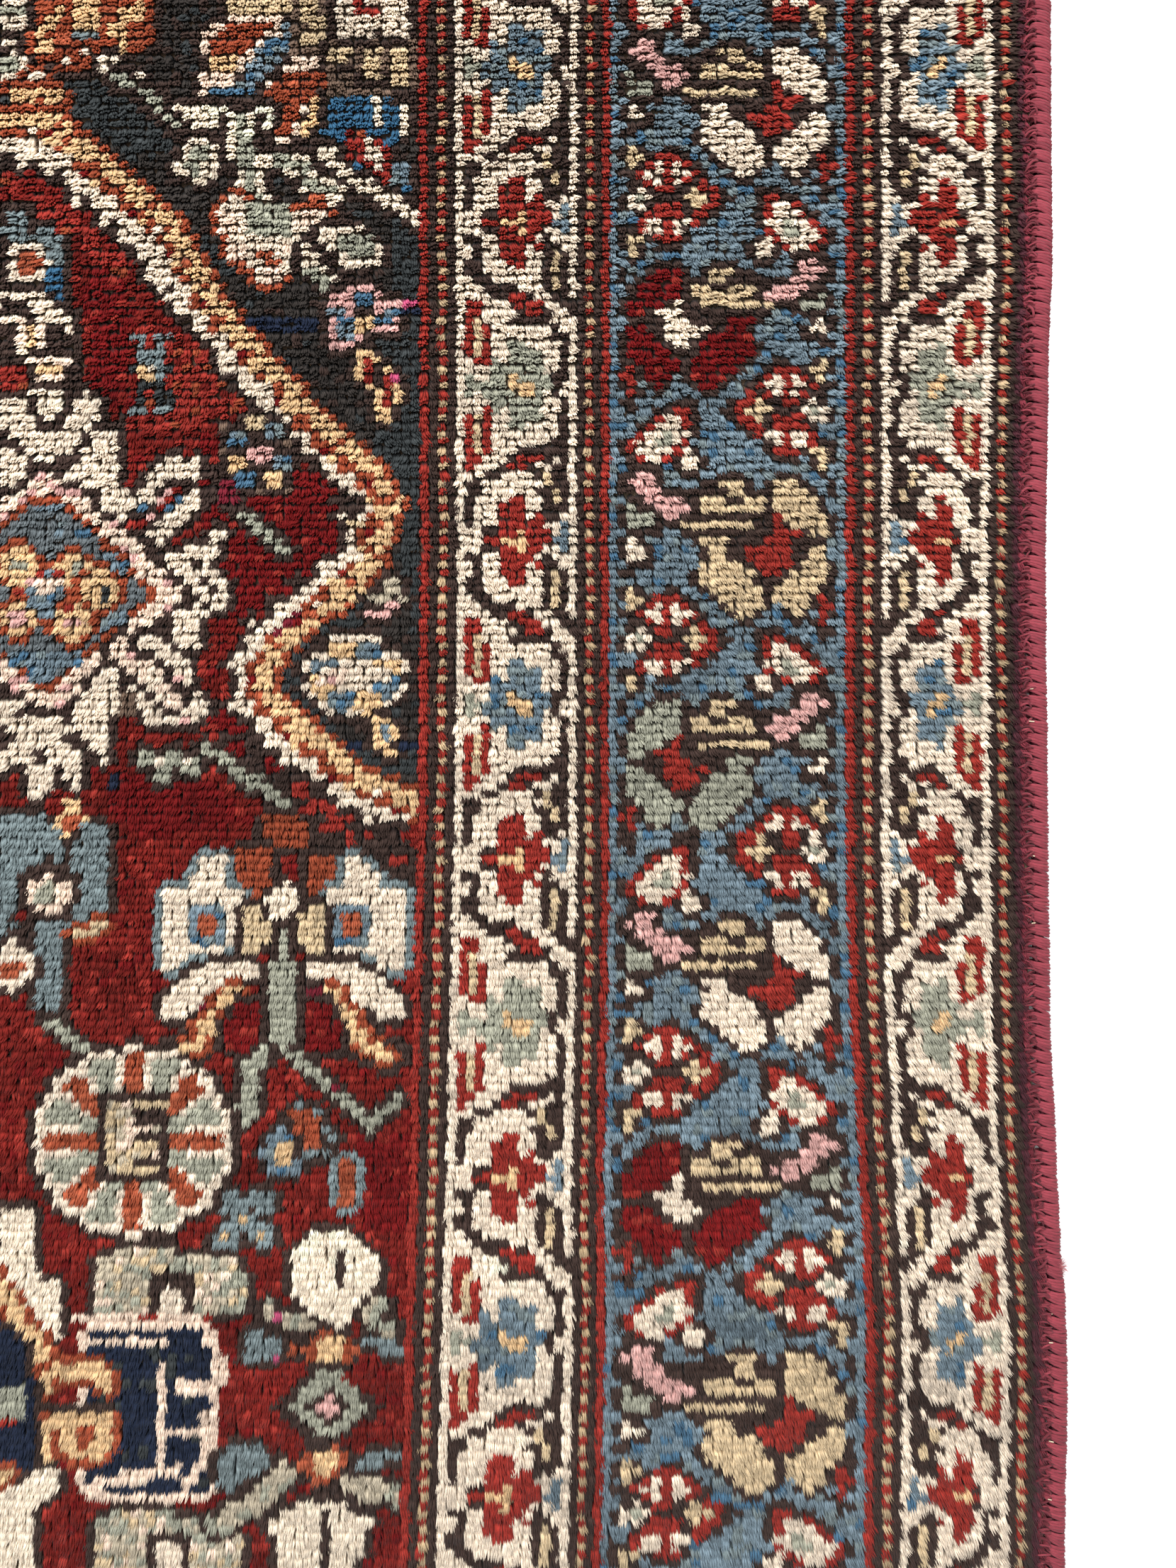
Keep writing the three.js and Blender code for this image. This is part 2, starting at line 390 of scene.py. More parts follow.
def fieldFlowers():
    # pink and blue, beside the stripe
    block("rose", (40.7, 43.2, 39.6, 40.8), (39.7, 40.8, 40.3, 42.6), (42.8, 44, 40.6, 42.6),
          (37.7, 40.7, 41.4, 42.8), (44, 46, 41.7, 42.6), (43, 43.8, 42.6, 43.6), (37.6, 38.8, 43.4, 46.8),
          (39.7, 40.8, 42.8, 43.6), (40.8, 42.8, 43.6, 44.6), (43, 45.9, 44.8, 45.8), (45, 45.9, 43.5, 45),
          (40.7, 41.7, 45.6, 46.7), (38.3, 40.7, 46.6, 47.8))
    block("blue", (40.8, 42.8, 40.8, 43.4), (38.8, 40.7, 43.6, 44.8), (43, 45, 43.8, 44.8))
    block("sea", (37.8, 39.6, 42.7, 43.5), (44, 45.7, 42.6, 43.6), (38.7, 40.7, 45.4, 46.6))
    block("gold", (40.6, 42.6, 44.5, 45.8))
    settle("walnut")
    dots("pink", (46.5, 42.8), (47.2, 42.8))
    block("navy", (45.9, 48, 43.2, 44.4))
    settle()
    block("gold", (41.3, 43.3, 48.3, 49.4), (41, 41.9, 49, 52), (43, 43.8, 49.2, 50.2),
          (44, 44.7, 50.2, 51.4), (44.6, 45.6, 52.4, 54.6), (42.2, 43, 52, 53.4), (42.8, 43.7, 53.4, 55.4),
          (43.3, 44.7, 55, 56.6))
    block("poppy", (41.8, 43, 49.4, 52), (43.7, 44.5, 51.4, 54.8))
    dots("pink", (45.3, 51.8))
    settle("walnut")
    # a small double fork
    block("sky", (16.5, 18.3, 46, 47), (19, 21, 46, 47), (17.3, 18.2, 47, 48.6), (19.2, 20, 47, 48.6),
          (17.4, 20.3, 48.4, 49.6), (19.3, 20.4, 50, 52), (16.4, 18.4, 54.8, 55.9),
          (19.3, 21.4, 54.8, 55.9))
    block("slate", (16.5, 17.3, 50.2, 51.3), (20.4, 21.3, 50.4, 51.4), (17, 20.4, 51.8, 53.2),
          (17.1, 18.3, 53.2, 54.8), (19.4, 20.7, 53.2, 54.8))
    block("gold", (17.5, 19.3, 50, 51.6))
    dots("ivory", (18.5, 50.6))
    settle()
    # a spray of blue, pink and gold buds over a bent stem
    block("bark", (26, 34, 56.6, 66))
    settle()
    block("sea", (26.7, 29, 57.7, 59.8), (31.4, 32.6, 57.4, 58.6), (32.5, 34, 61, 62.8))
    block("tan", (29.4, 31, 56.4, 57.6))
    block("gold", (26.7, 29, 60.8, 62.8), (31.4, 33.2, 62.6, 65))
    block("rose", (29.5, 32, 60, 61.6))
    block("blue", (28.5, 30, 62.6, 64.5))
    block("plum", (26, 28.2, 63.6, 67))
    settle("walnut")
    line("sage", 1.4, (29, 68.2), (31.3, 71), (33.6, 72.6))
    settle("walnut")
    block("walnut", (38.4, 42.4, 66, 66.8), (40, 42.4, 67, 68), (33, 36, 75.6, 76.6), (31, 33, 78, 79),
          (25, 26, 62, 66))
    settle()
    line("tan", 1, (40.6, 69.6), (42, 69))
    settle()


def blueFigure():
    block("walnut", (0, 10.4, 30, 43.4), (0, 11.4, 43.4, 58))
    settle()
    block("sky", (3.5, 5.3, 31, 34.6), (2, 3.6, 33.2, 34.2), (5, 9.1, 34, 35), (6.4, 8.4, 33.2, 34),
          (7.2, 9.1, 35, 37.6))
    block("azure", (7, 9.2, 37.6, 42.2))
    block("ivory", (3.1, 7.4, 34.8, 39.7), (7, 8.2, 36.9, 38.2))
    block("brick", (4.3, 6.3, 36, 38.6))
    dots("poppy", (6.5, 37.2))
    block("poppy", (6, 10, 30, 31.6), (8, 11, 31, 34))
    settle()
    fill("ivory", (0, 40.9), (6.8, 40.9), (8.4, 42.6), (8.6, 43.6), (10.5, 43.4), (10.5, 45.9), (8.4, 45.4),
         (6.8, 45), (5.8, 43.4), (5, 42.4), (0, 42.6))
    block("blush", (0, 5.4, 43.7, 45.2), (3.8, 7, 44.8, 49.8))
    block("gold", (4.8, 6, 45.2, 49.4))
    settle("walnut")
    block("blush", (5, 10, 49, 50.2), (5.7, 9.2, 50.8, 52))
    block("gold", (6, 9.4, 50, 50.9))
    fill("milk", (5.4, 53.2), (9, 53), (9, 55.8), (7.6, 57), (6.4, 56), (5.6, 55.6))
    settle("walnut")
    block("poppy", (2, 5, 50, 53))
    settle()


def paleLeaves():
    # forms above the lozenge
    line("ivory", 3.2, (3.6, 55.6), (4.4, 58.4), (7, 60.4), (10, 58.8), (11.4, 55))
    settle("walnut")
    fill("ivory", (0, 60.4), (3.8, 60.4), (5.8, 62), (4.2, 64.6), (0, 65.4))
    fill("ivory", (12.8, 57.6), (14.8, 57.6), (14.8, 64), (15.8, 66), (17.4, 65), (18.2, 63), (20.4, 62),
         (20.4, 60.6), (21.6, 60.6), (21.6, 62), (23, 62), (23, 60.6), (24.4, 60.6), (24.4, 64), (20.4, 64),
         (18.6, 66.4), (16.2, 68.8), (13.4, 68), (12.4, 65), (9, 63.6), (11, 61))
    fill("ivory", (22.6, 65.4), (24.4, 65), (24, 67.6), (21.6, 70), (19.6, 72.2), (17.8, 70.8), (20.4, 68))
    settle("walnut")
    dots("rose", (20.5, 65.6), (19.5, 66.4), (18.6, 68.6))
    dots("blue", (21.8, 66.5), (20.5, 67.3), (17, 67.6), (20, 74.6))
    line("walnut", 1.2, (15.7, 57), (15.7, 64.4))
    settle()
    fill("ivory", (19.6, 73), (24.4, 72.8), (27, 77), (26.6, 79.6), (24.4, 79.8), (22.6, 77.6), (21, 75.8))
    line("ivory", 1.3, (26, 70.4), (25.6, 73), (23, 72.2))
    settle("walnut")
    line("ivory", 2.3, (23.6, 80.6), (21.8, 81.4), (22.8, 83.8))
    settle("walnut")
    dots("walnut", (23.6, 74.4), (24.6, 76), (25, 77.5))
    settle()
    # forms below it
    fill("ivory", (4, 93), (9, 93), (10, 95.6), (11.2, 98), (10.6, 101.6), (9.6, 101), (8, 98.6),
         (8, 102.2), (5, 103), (4.8, 99.4), (2, 99.6), (2.6, 96))
    fill("ivory", (0, 90), (4.6, 91), (4.4, 94), (0, 94))
    fill("ivory", (13.6, 86.6), (15.6, 86.6), (14.6, 91), (14.4, 96), (13.6, 99.4), (12.6, 97), (9.4, 94.6),
         (10.6, 91))
    settle("walnut")
    dots("walnut", (3.4, 95), (9.6, 95), (6.6, 98), (6.6, 97))
    settle()
    line("ivory", 2.2, (16.6, 89.6), (19, 92.6), (23, 93.4))
    line("ivory", 1.6, (22.8, 90.6), (24.6, 92))
    settle("walnut")
    line("blush", 2.9, (15.6, 84.8), (18.6, 88), (20.8, 90.6))
    settle("walnut")
    line("ivory", 2.1, (18, 83.6), (20, 84.8), (21.8, 86.6), (21.8, 88.2))
    settle("walnut")
    fill("bark", (14.6, 89.6), (15.8, 89.6), (17, 91), (17, 93.4), (14.6, 93.4))
    settle()
    dots("rose", (22, 93.7), (21, 88))
    settle()
    for c, r in ((18, 98.2), (20.6, 98), (23, 99.4), (20, 99.6)):
        disc("sage", c, r, 1.1)
    line("sage", 1.5, (24.6, 96.8), (28.7, 100), (33.6, 103.8))
    dots("ivory", (19, 98.5), (22, 98.5))
    settle("walnut")
    dots("navy", (14.5, 101), (14.5, 100))
    settle()


def knotRosette(c, r, heart):
    block("gold", (c - 1, c + 1, r - 2.3, r + 2.3), (c - 2, c + 2, r - 1.3, r + 1.3))
    disc(heart, c, r, 0.8)
    settle("rust")


def lozenge():
    # a pale band with a thread of rust inside it, round a ground of blues
    centre, middle = 6.9, 77.7
    for shade, wide, tall in (("blush", 15.6, 15.2), ("rust", 12.7, 12), ("lead", 11.6, 11)):
        fill(shade, (centre - 1, middle - tall), (centre + 1, middle - tall), (centre + wide, middle),
             (centre + 1, middle + tall), (centre - 1, middle + tall), (centre - wide, middle))
    settle("walnut")
    block("sea", (5.6, 8.6, 67, 68.4), (7.6, 9, 69, 71.4), (10.4, 12.4, 70, 71.2), (3, 10.8, 84.8, 87),
          (5.4, 8.4, 87, 88.6))
    block("sea", (13, 14.6, 73, 75.4), (14, 16, 74.4, 76.4), (13, 15.6, 80, 82), (12, 14, 81, 83.4))
    settle()
    for c, r, heart in ((4, 74.7, "sage"), (10.2, 75, "sage"), (13.3, 77.8, "slate"), (4, 81, "rose"),
                        (10, 81.2, "rose")):
        knotRosette(c, r, heart)
    block("sea", (6.4, 7.6, 75, 76.2), (4.8, 9.4, 77.4, 78.4), (5.4, 8.4, 78.4, 79.6), (6.4, 7.6, 79.6, 80.6))
    block("blush", (5.3, 8.7, 76.2, 77.4), (6.3, 7.8, 77.4, 78.4))
    dots("poppy", (6, 75.5), (8.2, 75.5), (4, 77.8), (9, 79.5))
    settle()


def vase():
    fill("sky", (3, 105), (7, 105), (8.8, 107.6), (8.8, 110.6), (5.2, 111), (5, 114), (3, 118), (4.6, 119),
         (3, 121), (0, 121), (0, 105))
    fill("sky", (11.6, 105.8), (14.2, 105.8), (14.2, 115), (13.4, 117), (10.6, 118.6), (7.6, 118.6),
         (8.4, 116.6), (10.6, 115), (10, 109))
    line("sky", 2.6, (7.8, 118), (7.8, 129))
    settle("walnut")
    disc("walnut", 7.5, 114.4, 3.4, 1.2)
    settle()
    disc("blush", 7.4, 114.6, 2.5, 0.9)
    disc("sage", 7.2, 114.6, 1.3)
    settle("walnut")
    line("tan", 1.2, (10.6, 119.8), (13.6, 118.6))
    settle("rust")
    disc("ivory", 3.4, 123.6, 2.4, 1.3)
    disc("brick", 3.4, 123.8, 1.3)
    settle("walnut")
    line("sage", 1.5, (8.2, 130.4), (10.7, 132.8), (13, 135.2))
    settle("walnut")
    block("gold", (9, 11, 103.4, 105), (8, 9, 105, 107), (11, 12, 104.6, 106), (9, 10.4, 106.8, 108.2))
    block("brick", (9, 11, 104.8, 106.8))
    settle()


def lowerPocket():
    for c, r in ((45, 77), (43, 78.5), (46.4, 78.6), (44.6, 79.2)):
        disc("mist", c, r, 0.8)
    line("rose", 1.2, (43, 80.4), (45.6, 79.8))
    settle("walnut")
    # a rosette of eight petals round a pale band
    for turn in range(8):
        angle = math.radians(22.5 + 45 * turn)
        c, r = 41 + 3.9 * math.cos(angle), 88.2 + 3.3 * math.sin(angle)
        disc("ivory", c, r, 2.1)
    settle("walnut")
    for turn in range(8):
        angle = math.radians(22.5 + 45 * turn)
        c, r = 41 + 3.9 * math.cos(angle), 88.2 + 3.3 * math.sin(angle)
        disc(("sea", "gold")[turn % 2], c, r, 1.4, 0.9)
    block("blush", (37, 41, 87.4, 88.6))
    block("ivory", (40, 45, 87, 88.6))
    settle()
    disc("gold", 44.4, 95, 1.9, 0.9)
    block("gold", (44.5, 45.5, 96.6, 98))
    disc("sea", 44.4, 95, 0.8)
    settle("walnut")


def mirrored(points, axis):
    return [(2 * axis - c, r) for c, r in points]


def butterflyPalmette():
    axis = 33.4
    for c, r, wide, tall in ((33.3, 107.2, 2.7, 2.3), (30, 111.8, 2.5, 3), (37.6, 112.6, 2, 3)):
        disc("rust", c, r, wide, tall / wide)
        settle("walnut")
    wing = [(24.4, 110.4), (26.6, 110.4), (27.2, 113.6), (28.6, 114), (28.6, 116), (27.4, 122), (23, 122.4),
            (21.8, 124.4), (20.2, 124.4), (20.2, 114.4), (22.4, 113.8)]
    fill("ivory", *wing)
    fill("ivory", *mirrored(wing, axis))
    settle("sky")
    crescent = [(30.8, 122.8), (30.6, 125), (27.2, 126.2), (24.6, 129.2), (20.2, 130), (19.8, 127.6),
                (22.6, 124.8), (25.6, 123)]
    fill("ivory", *crescent)
    fill("ivory", *mirrored(crescent, axis))
    settle("walnut")
    leaf = [(28.8, 116.2), (30.4, 116.2), (32.2, 118.6), (31.4, 121), (30.6, 122), (28.8, 121.8)]
    fill("tan", *leaf)
    fill("tan", *mirrored(leaf, axis))
    settle("walnut")
    fill("milk", (axis, 112.8), (axis + 2.2, 115.8), (axis, 119), (axis - 2.2, 115.8))
    settle("walnut")
    for side in (-1, 1):
        c = axis + side * 8
        block("sea", (c - 2, c + 2, 115.8, 121.4))
        block("brick", (c - 1, c + 1, 117, 120.4))
        settle()
        dots("brick", (c + side * 2.6, 118.5))
        curl = ((axis + side * 5.4, 126.6), (axis + side * 8.2, 130), (axis + side * 8.8, 132.8),
                (axis + side * 12, 134.4))
        line("walnut", 5, *curl)
        layer[cartoon == shades.index("ivory")] = -1
        settle()
        line("gold", 1.3, *curl)
        settle("rust")
    lobe = [(28.4, 127.6), (30.8, 127.6), (30.8, 134.4), (27.4, 134.4), (27, 131)]
    fill("garnet", *lobe)
    fill("garnet", *mirrored(lobe, axis))
    settle("walnut")
    block("sage", (31.9, 34.7, 122.6, 134.2), (32.8, 34, 119.4, 123))
    settle("walnut")
    line("sage", 2.2, (31.4, 134.4), (29.8, 137), (29.4, 142.4))
    line("sage", 1.7, (35, 134.6), (38.8, 138), (43.4, 143), (46.8, 140))
    settle("walnut")
    dots("plum", (36.5, 126), (37.5, 126), (24.4, 128.3), (39, 138.5))
    settle()


def wheelRosette():
    # a wheel of sixteen wedges inside a pale rim
    c0, r0, radius, tall = 17, 145, 11.2, 1.03
    disc("ivory", c0, r0, radius, tall)
    settle("walnut")
    angle = np.degrees(np.arctan2((knotR - r0) / tall, knotC - c0)) % 360
    away = np.hypot(knotC - c0, (knotR - r0) / tall)
    wedge = ((angle + 11.25) // 22.5).astype(int)
    between = np.abs((angle + 11.25) % 22.5 - 11.25) < 8.4
    body = (away > 4) & (away < radius - 0.9) & between
    layer[body & (wedge % 2 == 0)] = shades.index("brick")
    layer[body & (wedge % 2 == 1)] = shades.index("sage")
    settle()
    block("walnut", (13, 21, 139.4, 150.4))
    settle()
    block("tan", (14, 17, 140.4, 149.4))
    line("tan", 1.2, (14.5, 140.6), (20, 140.6))
    line("tan", 1.2, (16, 143.4), (19.8, 143.4))
    line("tan", 1.6, (16, 146), (19, 146))
    line("tan", 1.2, (16, 148.8), (19.4, 148.8))
    settle()


def rightCluster():
    fill("sea", (33, 142.6), (34.6, 142.6), (36, 146), (35.6, 149.2), (32.6, 149.2), (31.2, 146.6))
    block("gold", (33, 34.8, 144.6, 148.4))
    settle("walnut")
    fill("brick", (34.4, 141.4), (38, 141.4), (38, 145.8), (36, 145.4))
    dots("sky", (35.8, 140.6), (37.5, 141.7), (38.4, 143), (39.3, 144))
    line("sky", 1, (36, 146.4), (39, 146.4))
    settle("walnut")
    fill("brick", (40, 147), (42.2, 147), (42.2, 152), (41, 154), (39.8, 152))
    settle("sky")
    for c, r in ((29.4, 154.6), (27.6, 156.6), (31.8, 156.6), (31.8, 152.2), (28.2, 152.8)):
        disc("sky", c, r, 1.5)
    dots("gold", (29.5, 154.5), (27.7, 156.5), (31.7, 156.5))
    settle("walnut")


def whiteFlower():
    fill("milk", (38, 156), (41, 156), (44.7, 159.4), (44.7, 163.2), (42, 166.4), (40.2, 168), (38.2, 168),
         (37, 165), (34.6, 163.2), (34.6, 159.2))
    settle("walnut")
    block("walnut", (40, 41.2, 158, 163))
    settle()
    line("mist", 1.8, (32.6, 165), (32.4, 166.4), (36, 167), (37.4, 168))
    line("mist", 1.8, (45.4, 164.8), (43.4, 166.4), (46.4, 168))
    fill("sky", (29.7, 168), (33, 168.6), (35, 170.4), (32.8, 172.2), (30.4, 171.6))
    line("sky", 1.4, (44, 169.4), (47.6, 170.4))
    dots("pink", (33.2, 166.8), (33.3, 171.5))
    settle("walnut")


def diamondChain():
    for top, bottom, heart in ((167.8, 173.2, 170.5), (181.4, 187.4, 184.4)):
        fill("brick", (39.2, top), (43.2, heart), (39.2, bottom), (35.4, heart))
        disc("gold", 39.4, heart, 1.6, 0.9)
        settle("walnut")
    fill("walnut", (39.2, 171.6), (45.6, 177.5), (39.2, 183.4), (33, 177.5))
    settle()
    fill("sage", (38.4, 173.2), (40.6, 173.2), (44.2, 177.5), (40.6, 181.4), (38.4, 181.4), (34.8, 177.5))
    fill("walnut", (39.5, 174.6), (42.4, 177.5), (39.5, 180.4), (36.6, 177.5))
    line("rose", 1.1, (38.3, 177.5), (40.7, 177.5))
    line("rose", 1.1, (39.5, 176.4), (39.5, 178.6))
    settle()
    fill("sky", (27.4, 182.6), (31.6, 181.8), (33.8, 184), (31, 186), (29, 188), (27.2, 187))
    line("sky", 1.7, (43.4, 184.6), (46.8, 183.4))
    settle("walnut")
    line("mist", 2.8, (34.6, 185.8), (32, 188.6), (27.4, 191.6))
    line("mist", 2.6, (42.6, 187), (48, 188.4))
    settle("walnut")


def whiteArch():
    fill("milk", (36.4, 189.4), (42, 189.4), (44.6, 191.4), (43.6, 193.6), (43.2, 202), (34.2, 202),
         (34.2, 193.6), (32.6, 192.4), (34.4, 190.4))
    settle("walnut")
    block("walnut", (38.6, 39.9, 190.4, 202))
    settle()


def mottle(shade, others, share, seed, box):
    # a share of the knots of one shade, inside a box of columns and rows, tied in other yarns
    dice = np.random.default_rng(seed)
    c0, c1, r0, r1 = box
    spots = (cartoon == shades.index(shade)) & (dice.random(cartoon.shape) < share)
    spots &= (knotC > c0) & (knotC < c1) & (knotR > r0) & (knotR < r1)
    cartoon[spots] = dice.choice([shades.index(other) for other in others], spots.sum())


def steppedArch(top, height):
    # a mottled arch that steps out twice, over a dark niche
    fill("mist", (15, top), (22, top), (22, top + 1.3), (29, top + 1.3), (29.6, top + 3.6),
         (29.6, top + height), (24, top + height), (24, top + 3), (18.6, top + 3), (18.6, top + height),
         (13, top + height), (13, top + 1.3), (15, top + 1.3))
    settle("walnut")
    fill("walnut", (18.8, top + 3.2), (24, top + 3.2), (24, top + height), (18.8, top + height))
    settle()
    block("ivory", (20.3, 22.6, top + 4.6, top + height))
    settle()
    mottle("mist", ("sage", "blush", "tan", "sage"), 0.66, round(top), (12, 31, top - 1, top + height + 1))


def navyBlock():
    block("navy", (11.6, 26, 168, 188))
    settle("blush")
    line("blush", 1.3, (11, 166.8), (19, 167.2), (25, 167), (27, 171.5), (26.8, 176.4), (25.4, 179.6),
         (25.6, 183), (23.4, 188))
    line("blush", 1.2, (12, 169.8), (20, 169.8))
    line("blush", 1.2, (20.8, 172.8), (20.8, 184))
    line("blush", 1.2, (22, 175), (25.6, 175))
    line("blush", 1.2, (21, 180.7), (24.2, 180.7))
    line("blush", 1.3, (12, 188), (15, 186.2), (20, 185.8), (22.4, 185))
    settle()
    line("gold", 1.7, (14.6, 175), (13.6, 172.8), (8, 172.8), (7, 175.4))
    line("gold", 1.7, (7, 184), (7.2, 180), (9, 178.8), (14, 178.8), (14.2, 182.4), (12, 183.4))
    line("gold", 1.5, (10.2, 180.4), (10.2, 183.2))
    settle("rust")
    line("walnut", 1.1, (7, 177.1), (15, 177.1))
    settle()
    mottle("navy", ("slate",), 0.12, 3, (11, 27, 167, 189))


def secondMedallion():
    fill("milk", (2.2, 152.6), (5.6, 152.6), (5.6, 160.4), (8.8, 162.6), (8.8, 169.6), (6.6, 168.4),
         (4, 163.4), (2.2, 162))
    settle("walnut")
    line("gold", 1.9, (0.5, 160.5), (3, 164.2), (6, 169.4), (7, 171.4))
    settle("rust")
    fill("navy", (0, 166), (4.6, 169), (5.6, 175), (5.6, 184.6), (0, 186))
    fill("sage", (0, 175), (5, 175), (5, 178.6), (0, 178.6))
    settle("walnut")
    dots("poppy", (3.5, 179), (2.5, 179))
    settle()
    fill("milk", (6.6, 185), (9.2, 185), (9, 187.6), (6.2, 190.4), (6.2, 197), (6, 202), (0, 202), (0, 190),
         (4, 187))
    settle("walnut")
    line("gold", 1.8, (0, 187.6), (3, 185.4))
    settle("rust")


def field():
    grounds()
    upperPalmettes()
    topLeftCorner()
    creamFlower()
    serratedBand()
    fieldFlowers()
    blueFigure()
    lozenge()
    paleLeaves()
    vase()
    lowerPocket()
    butterflyPalmette()
    wheelRosette()
    rightCluster()
    whiteFlower()
    steppedArch(158, 7.6)
    line("poppy", 1.2, (13.5, 166.4), (25, 166.4))
    settle()
    navyBlock()
    secondMedallion()
    steppedArch(189.6, 14)
    diamondChain()
    whiteArch()
    # yarns that vary within a colour
    mottle("madder", ("garnet", "poppy"), 0.2, 21, (0, 48, 54, rows))
    mottle("poppy", ("rust", "madder"), 0.24, 22, (0, 48, 20, 60))
    mottle("night", ("slate", "walnut"), 0.22, 23, (0, 48, 0, 110))
    mottle("mist", ("sage",), 0.3, 24, (26, 48, 160, rows))
    mottle("blush", ("rose", "ivory"), 0.24, 25, (0, 48, 60, 96))
    mottle("tan", ("mist", "blush"), 0.45, 26, (12, 22, 138, 152))
    mottle("brick", ("rust",), 0.4, 27, (8, 46, 132, 190))


# One repeat of the guard: a flower with its vine, and the same flower turned over.
guardFlower = (
    "wrrwwwkrrrwwkk", "wrrwwwwkrrkwwk", "wrtwwwkkkkkwww", "wrtrwwwwwwwkww", "wrtrwwwwwwwkkw",
    "wrtrwwbbwwwwkw", "wrtrwwbbbbwwkw", "wwrrbwbbbbwwkw", "wwwwbbbbbbwwkw", "wgwwbbybbbbkkw",
    "wggbbbyyybbkww", "wgwbbbbyybwkww", "wwwwbbbbbbwwkw", "wwwrbwbbbbwwkw", "wrtrwwbbbbwwkw",
    "wrtrwwbbwwwwkw", "wrtrwwwwwwwwkw", "wrtrwwwwwwwkkw", "wrtrwwwkkkkkkw", "wrrwwwkrrrkwkw",
)
guardTurned = (
    "wrwwwkrrkwwkkw", "wwwkkwwwwktkkw", "wkkwwwwwwwtkkw", "wkkwwwwwwkktkw", "wkwwwwrrwwktkw",
    "wkwwwrrrwwkkkw", "wkwwwrrrwrkkww", "wkwwwrrrrrwwbw", "wwwkkrryrrrwbw", "wwwrryyyrrrbbw",
    "wwwkkrryrrwwbw", "wkkwwrrrrwkwww", "wwkwwrrrwrkkww", "wwkwwrrrwwktkw", "wkkwwwrrwwktkw",
    "wkkwwwwwwwktkw", "wwkkwwwwwwktkw", "wwwkkkkwwwktkw", "wwwwkkrrkwwkkw",
)
guardFirst = 3  # row where a whole repeat starts
# Half a repeat of the main border: P is the palmette's petals and Q its heart.
borderChart = (
    "kk....kkk...krrtkkrrkwk.", ".k..kkrrk..kkrtttkkkwgwk", "...krwwrk...krrtkrrrkwwk",
    "..krwwwrk....krrkrrrrk..", "..rwwgwwk.....krwwrwwr..", "krwwggwr........kwrwwrkk",
    "krwwwwrwk.......krrrkttk", ".krwwrkwwk.......kkk.ktk", ".kkkk.kwwk...........kt.",
    "kkppk..kk..kkk...kkk..k.", "kpppk....kktttk.kPPPk..k", "kkpppkkkkkkkttkkkPPPPk.k",
    ".kkppppkktttkkttkPPPPPk.", "kgkkppppktttttttkPPPPPk.", "kgggkppkkkkkkkkkkQPPPPPk",
    "kgggkkkttttttttkkQkPPPPk", ".kkkk..kkkkkkkkkkQQQkPPk", "kwk.....kPPPkkkkQQQkkkk.",
    "kwwk.....kPPkkQQQQQkkPP.", ".kkk.....PPPPPkQQQQkPPPk", "kk......kPPPPPPkQQkPPPPk",
    "........kPPPPPPkkkPPPPPk", "ktk..kk..kPPPPPPkPPPPPkk", "kttkrrrk..kPPPPPkPPPPkrk",
    ".tkrwrwrk..kPPPPk.PPPkrr", "kkrwwrwwrk..kPPk..kPk.rk", ".kkrwrwrkr...kk....k.kr.",
)


def guard(first, mirror, drop=()):
    # flower and turned flower take turns down the band, and every other flower is sage
    repeat = guardFlower + guardTurned
    start = guardFirst - len(repeat)
    while start < rows:
        for step, text in enumerate(repeat):
            number = (start - guardFirst) // len(repeat)
            swap = {"b": "sage"} if number % 2 and step < len(guardFlower) else {}
            picked = chartRow(text[::-1] if mirror else text, swap)
            picked = [yarn for place, yarn in enumerate(picked) if place not in drop]
            if 0 <= start + step < rows:
                cartoon[start + step, first:first + len(picked)] = picked
        start += len(repeat)


def mainBorder(first):
    # right and left halves take turns, with their own petal colours
    turns = (("ivory", "poppy"), ("garnet", "ivory"), ("tan", "poppy"), ("sage", "poppy"))
    start, period, halves = -0.2, 53.6, (27.9, 25.7)  # in rows; the loom let the two halves differ
    for r in range(rows):
        number = math.floor((r - start) / period)
        within = r - start - number * period
        half = 0 if within < halves[0] else 1
        step = int((within - half * halves[0]) / halves[half] * len(borderChart))
        text = borderChart[min(step, len(borderChart) - 1)]
        petals, heart = turns[(2 * number + half) % len(turns)]
        swap = {"P": petals, "Q": heart}
        cartoon[r, first:first + len(text)] = chartRow(text[::-1] if half else text, swap)


# Columns of the plain stripes between the bands, and of the beads, which are two yarns in turn.
plainStripes = {"walnut": (49, 51, 66, 68, 97, 99, 112, 114), "poppy": (48, 69, 96), "sea": (70, 95),
                "maroon": (115,), "crimson": (116,)}
beads = {"columns": (50, 67, 98, 113), "yarns": ("straw", "poppy")}


def stripesAndBeads():
    for name, places in plainStripes.items():
        cartoon[:, places] = shades.index(name)
    for turn, name in enumerate(beads["yarns"]):
        cartoon[turn::2, beads["columns"]] = shades.index(name)


field()
guard(52, False)
mainBorder(71)
guard(100, True, drop=(6, 9))
stripesAndBeads()
print("cartoon drawn:", rows, "rows of", columns, "knots")


def linear(code):
    # sRGB hex to scene linear
    parts = [int(code[place:place + 2], 16) / 255 for place in (1, 3, 5)]
    return [part / 12.92 if part <= 0.04045 else ((part + 0.055) / 1.055) ** 2.4 for part in parts]


def node(tree, kind, settings={}, **links):
    # adds a node; an input is given by its name, with _ for a space, or by its number as in0, in1
    made = tree.nodes.new(kind)
    for name, value in settings.items():
        setattr(made, name, value)
    for name, value in links.items():
        if name[:2] == "in" and name[2:].isdigit():
            socket = made.inputs[int(name[2:])]
        else:
            socket = next(s for s in made.inputs if s.name == name.replace("_", " ") and s.enabled)
        if isinstance(value, bpy.types.NodeSocket):
            tree.links.new(value, socket)
        else:
            socket.default_value = value
    return made


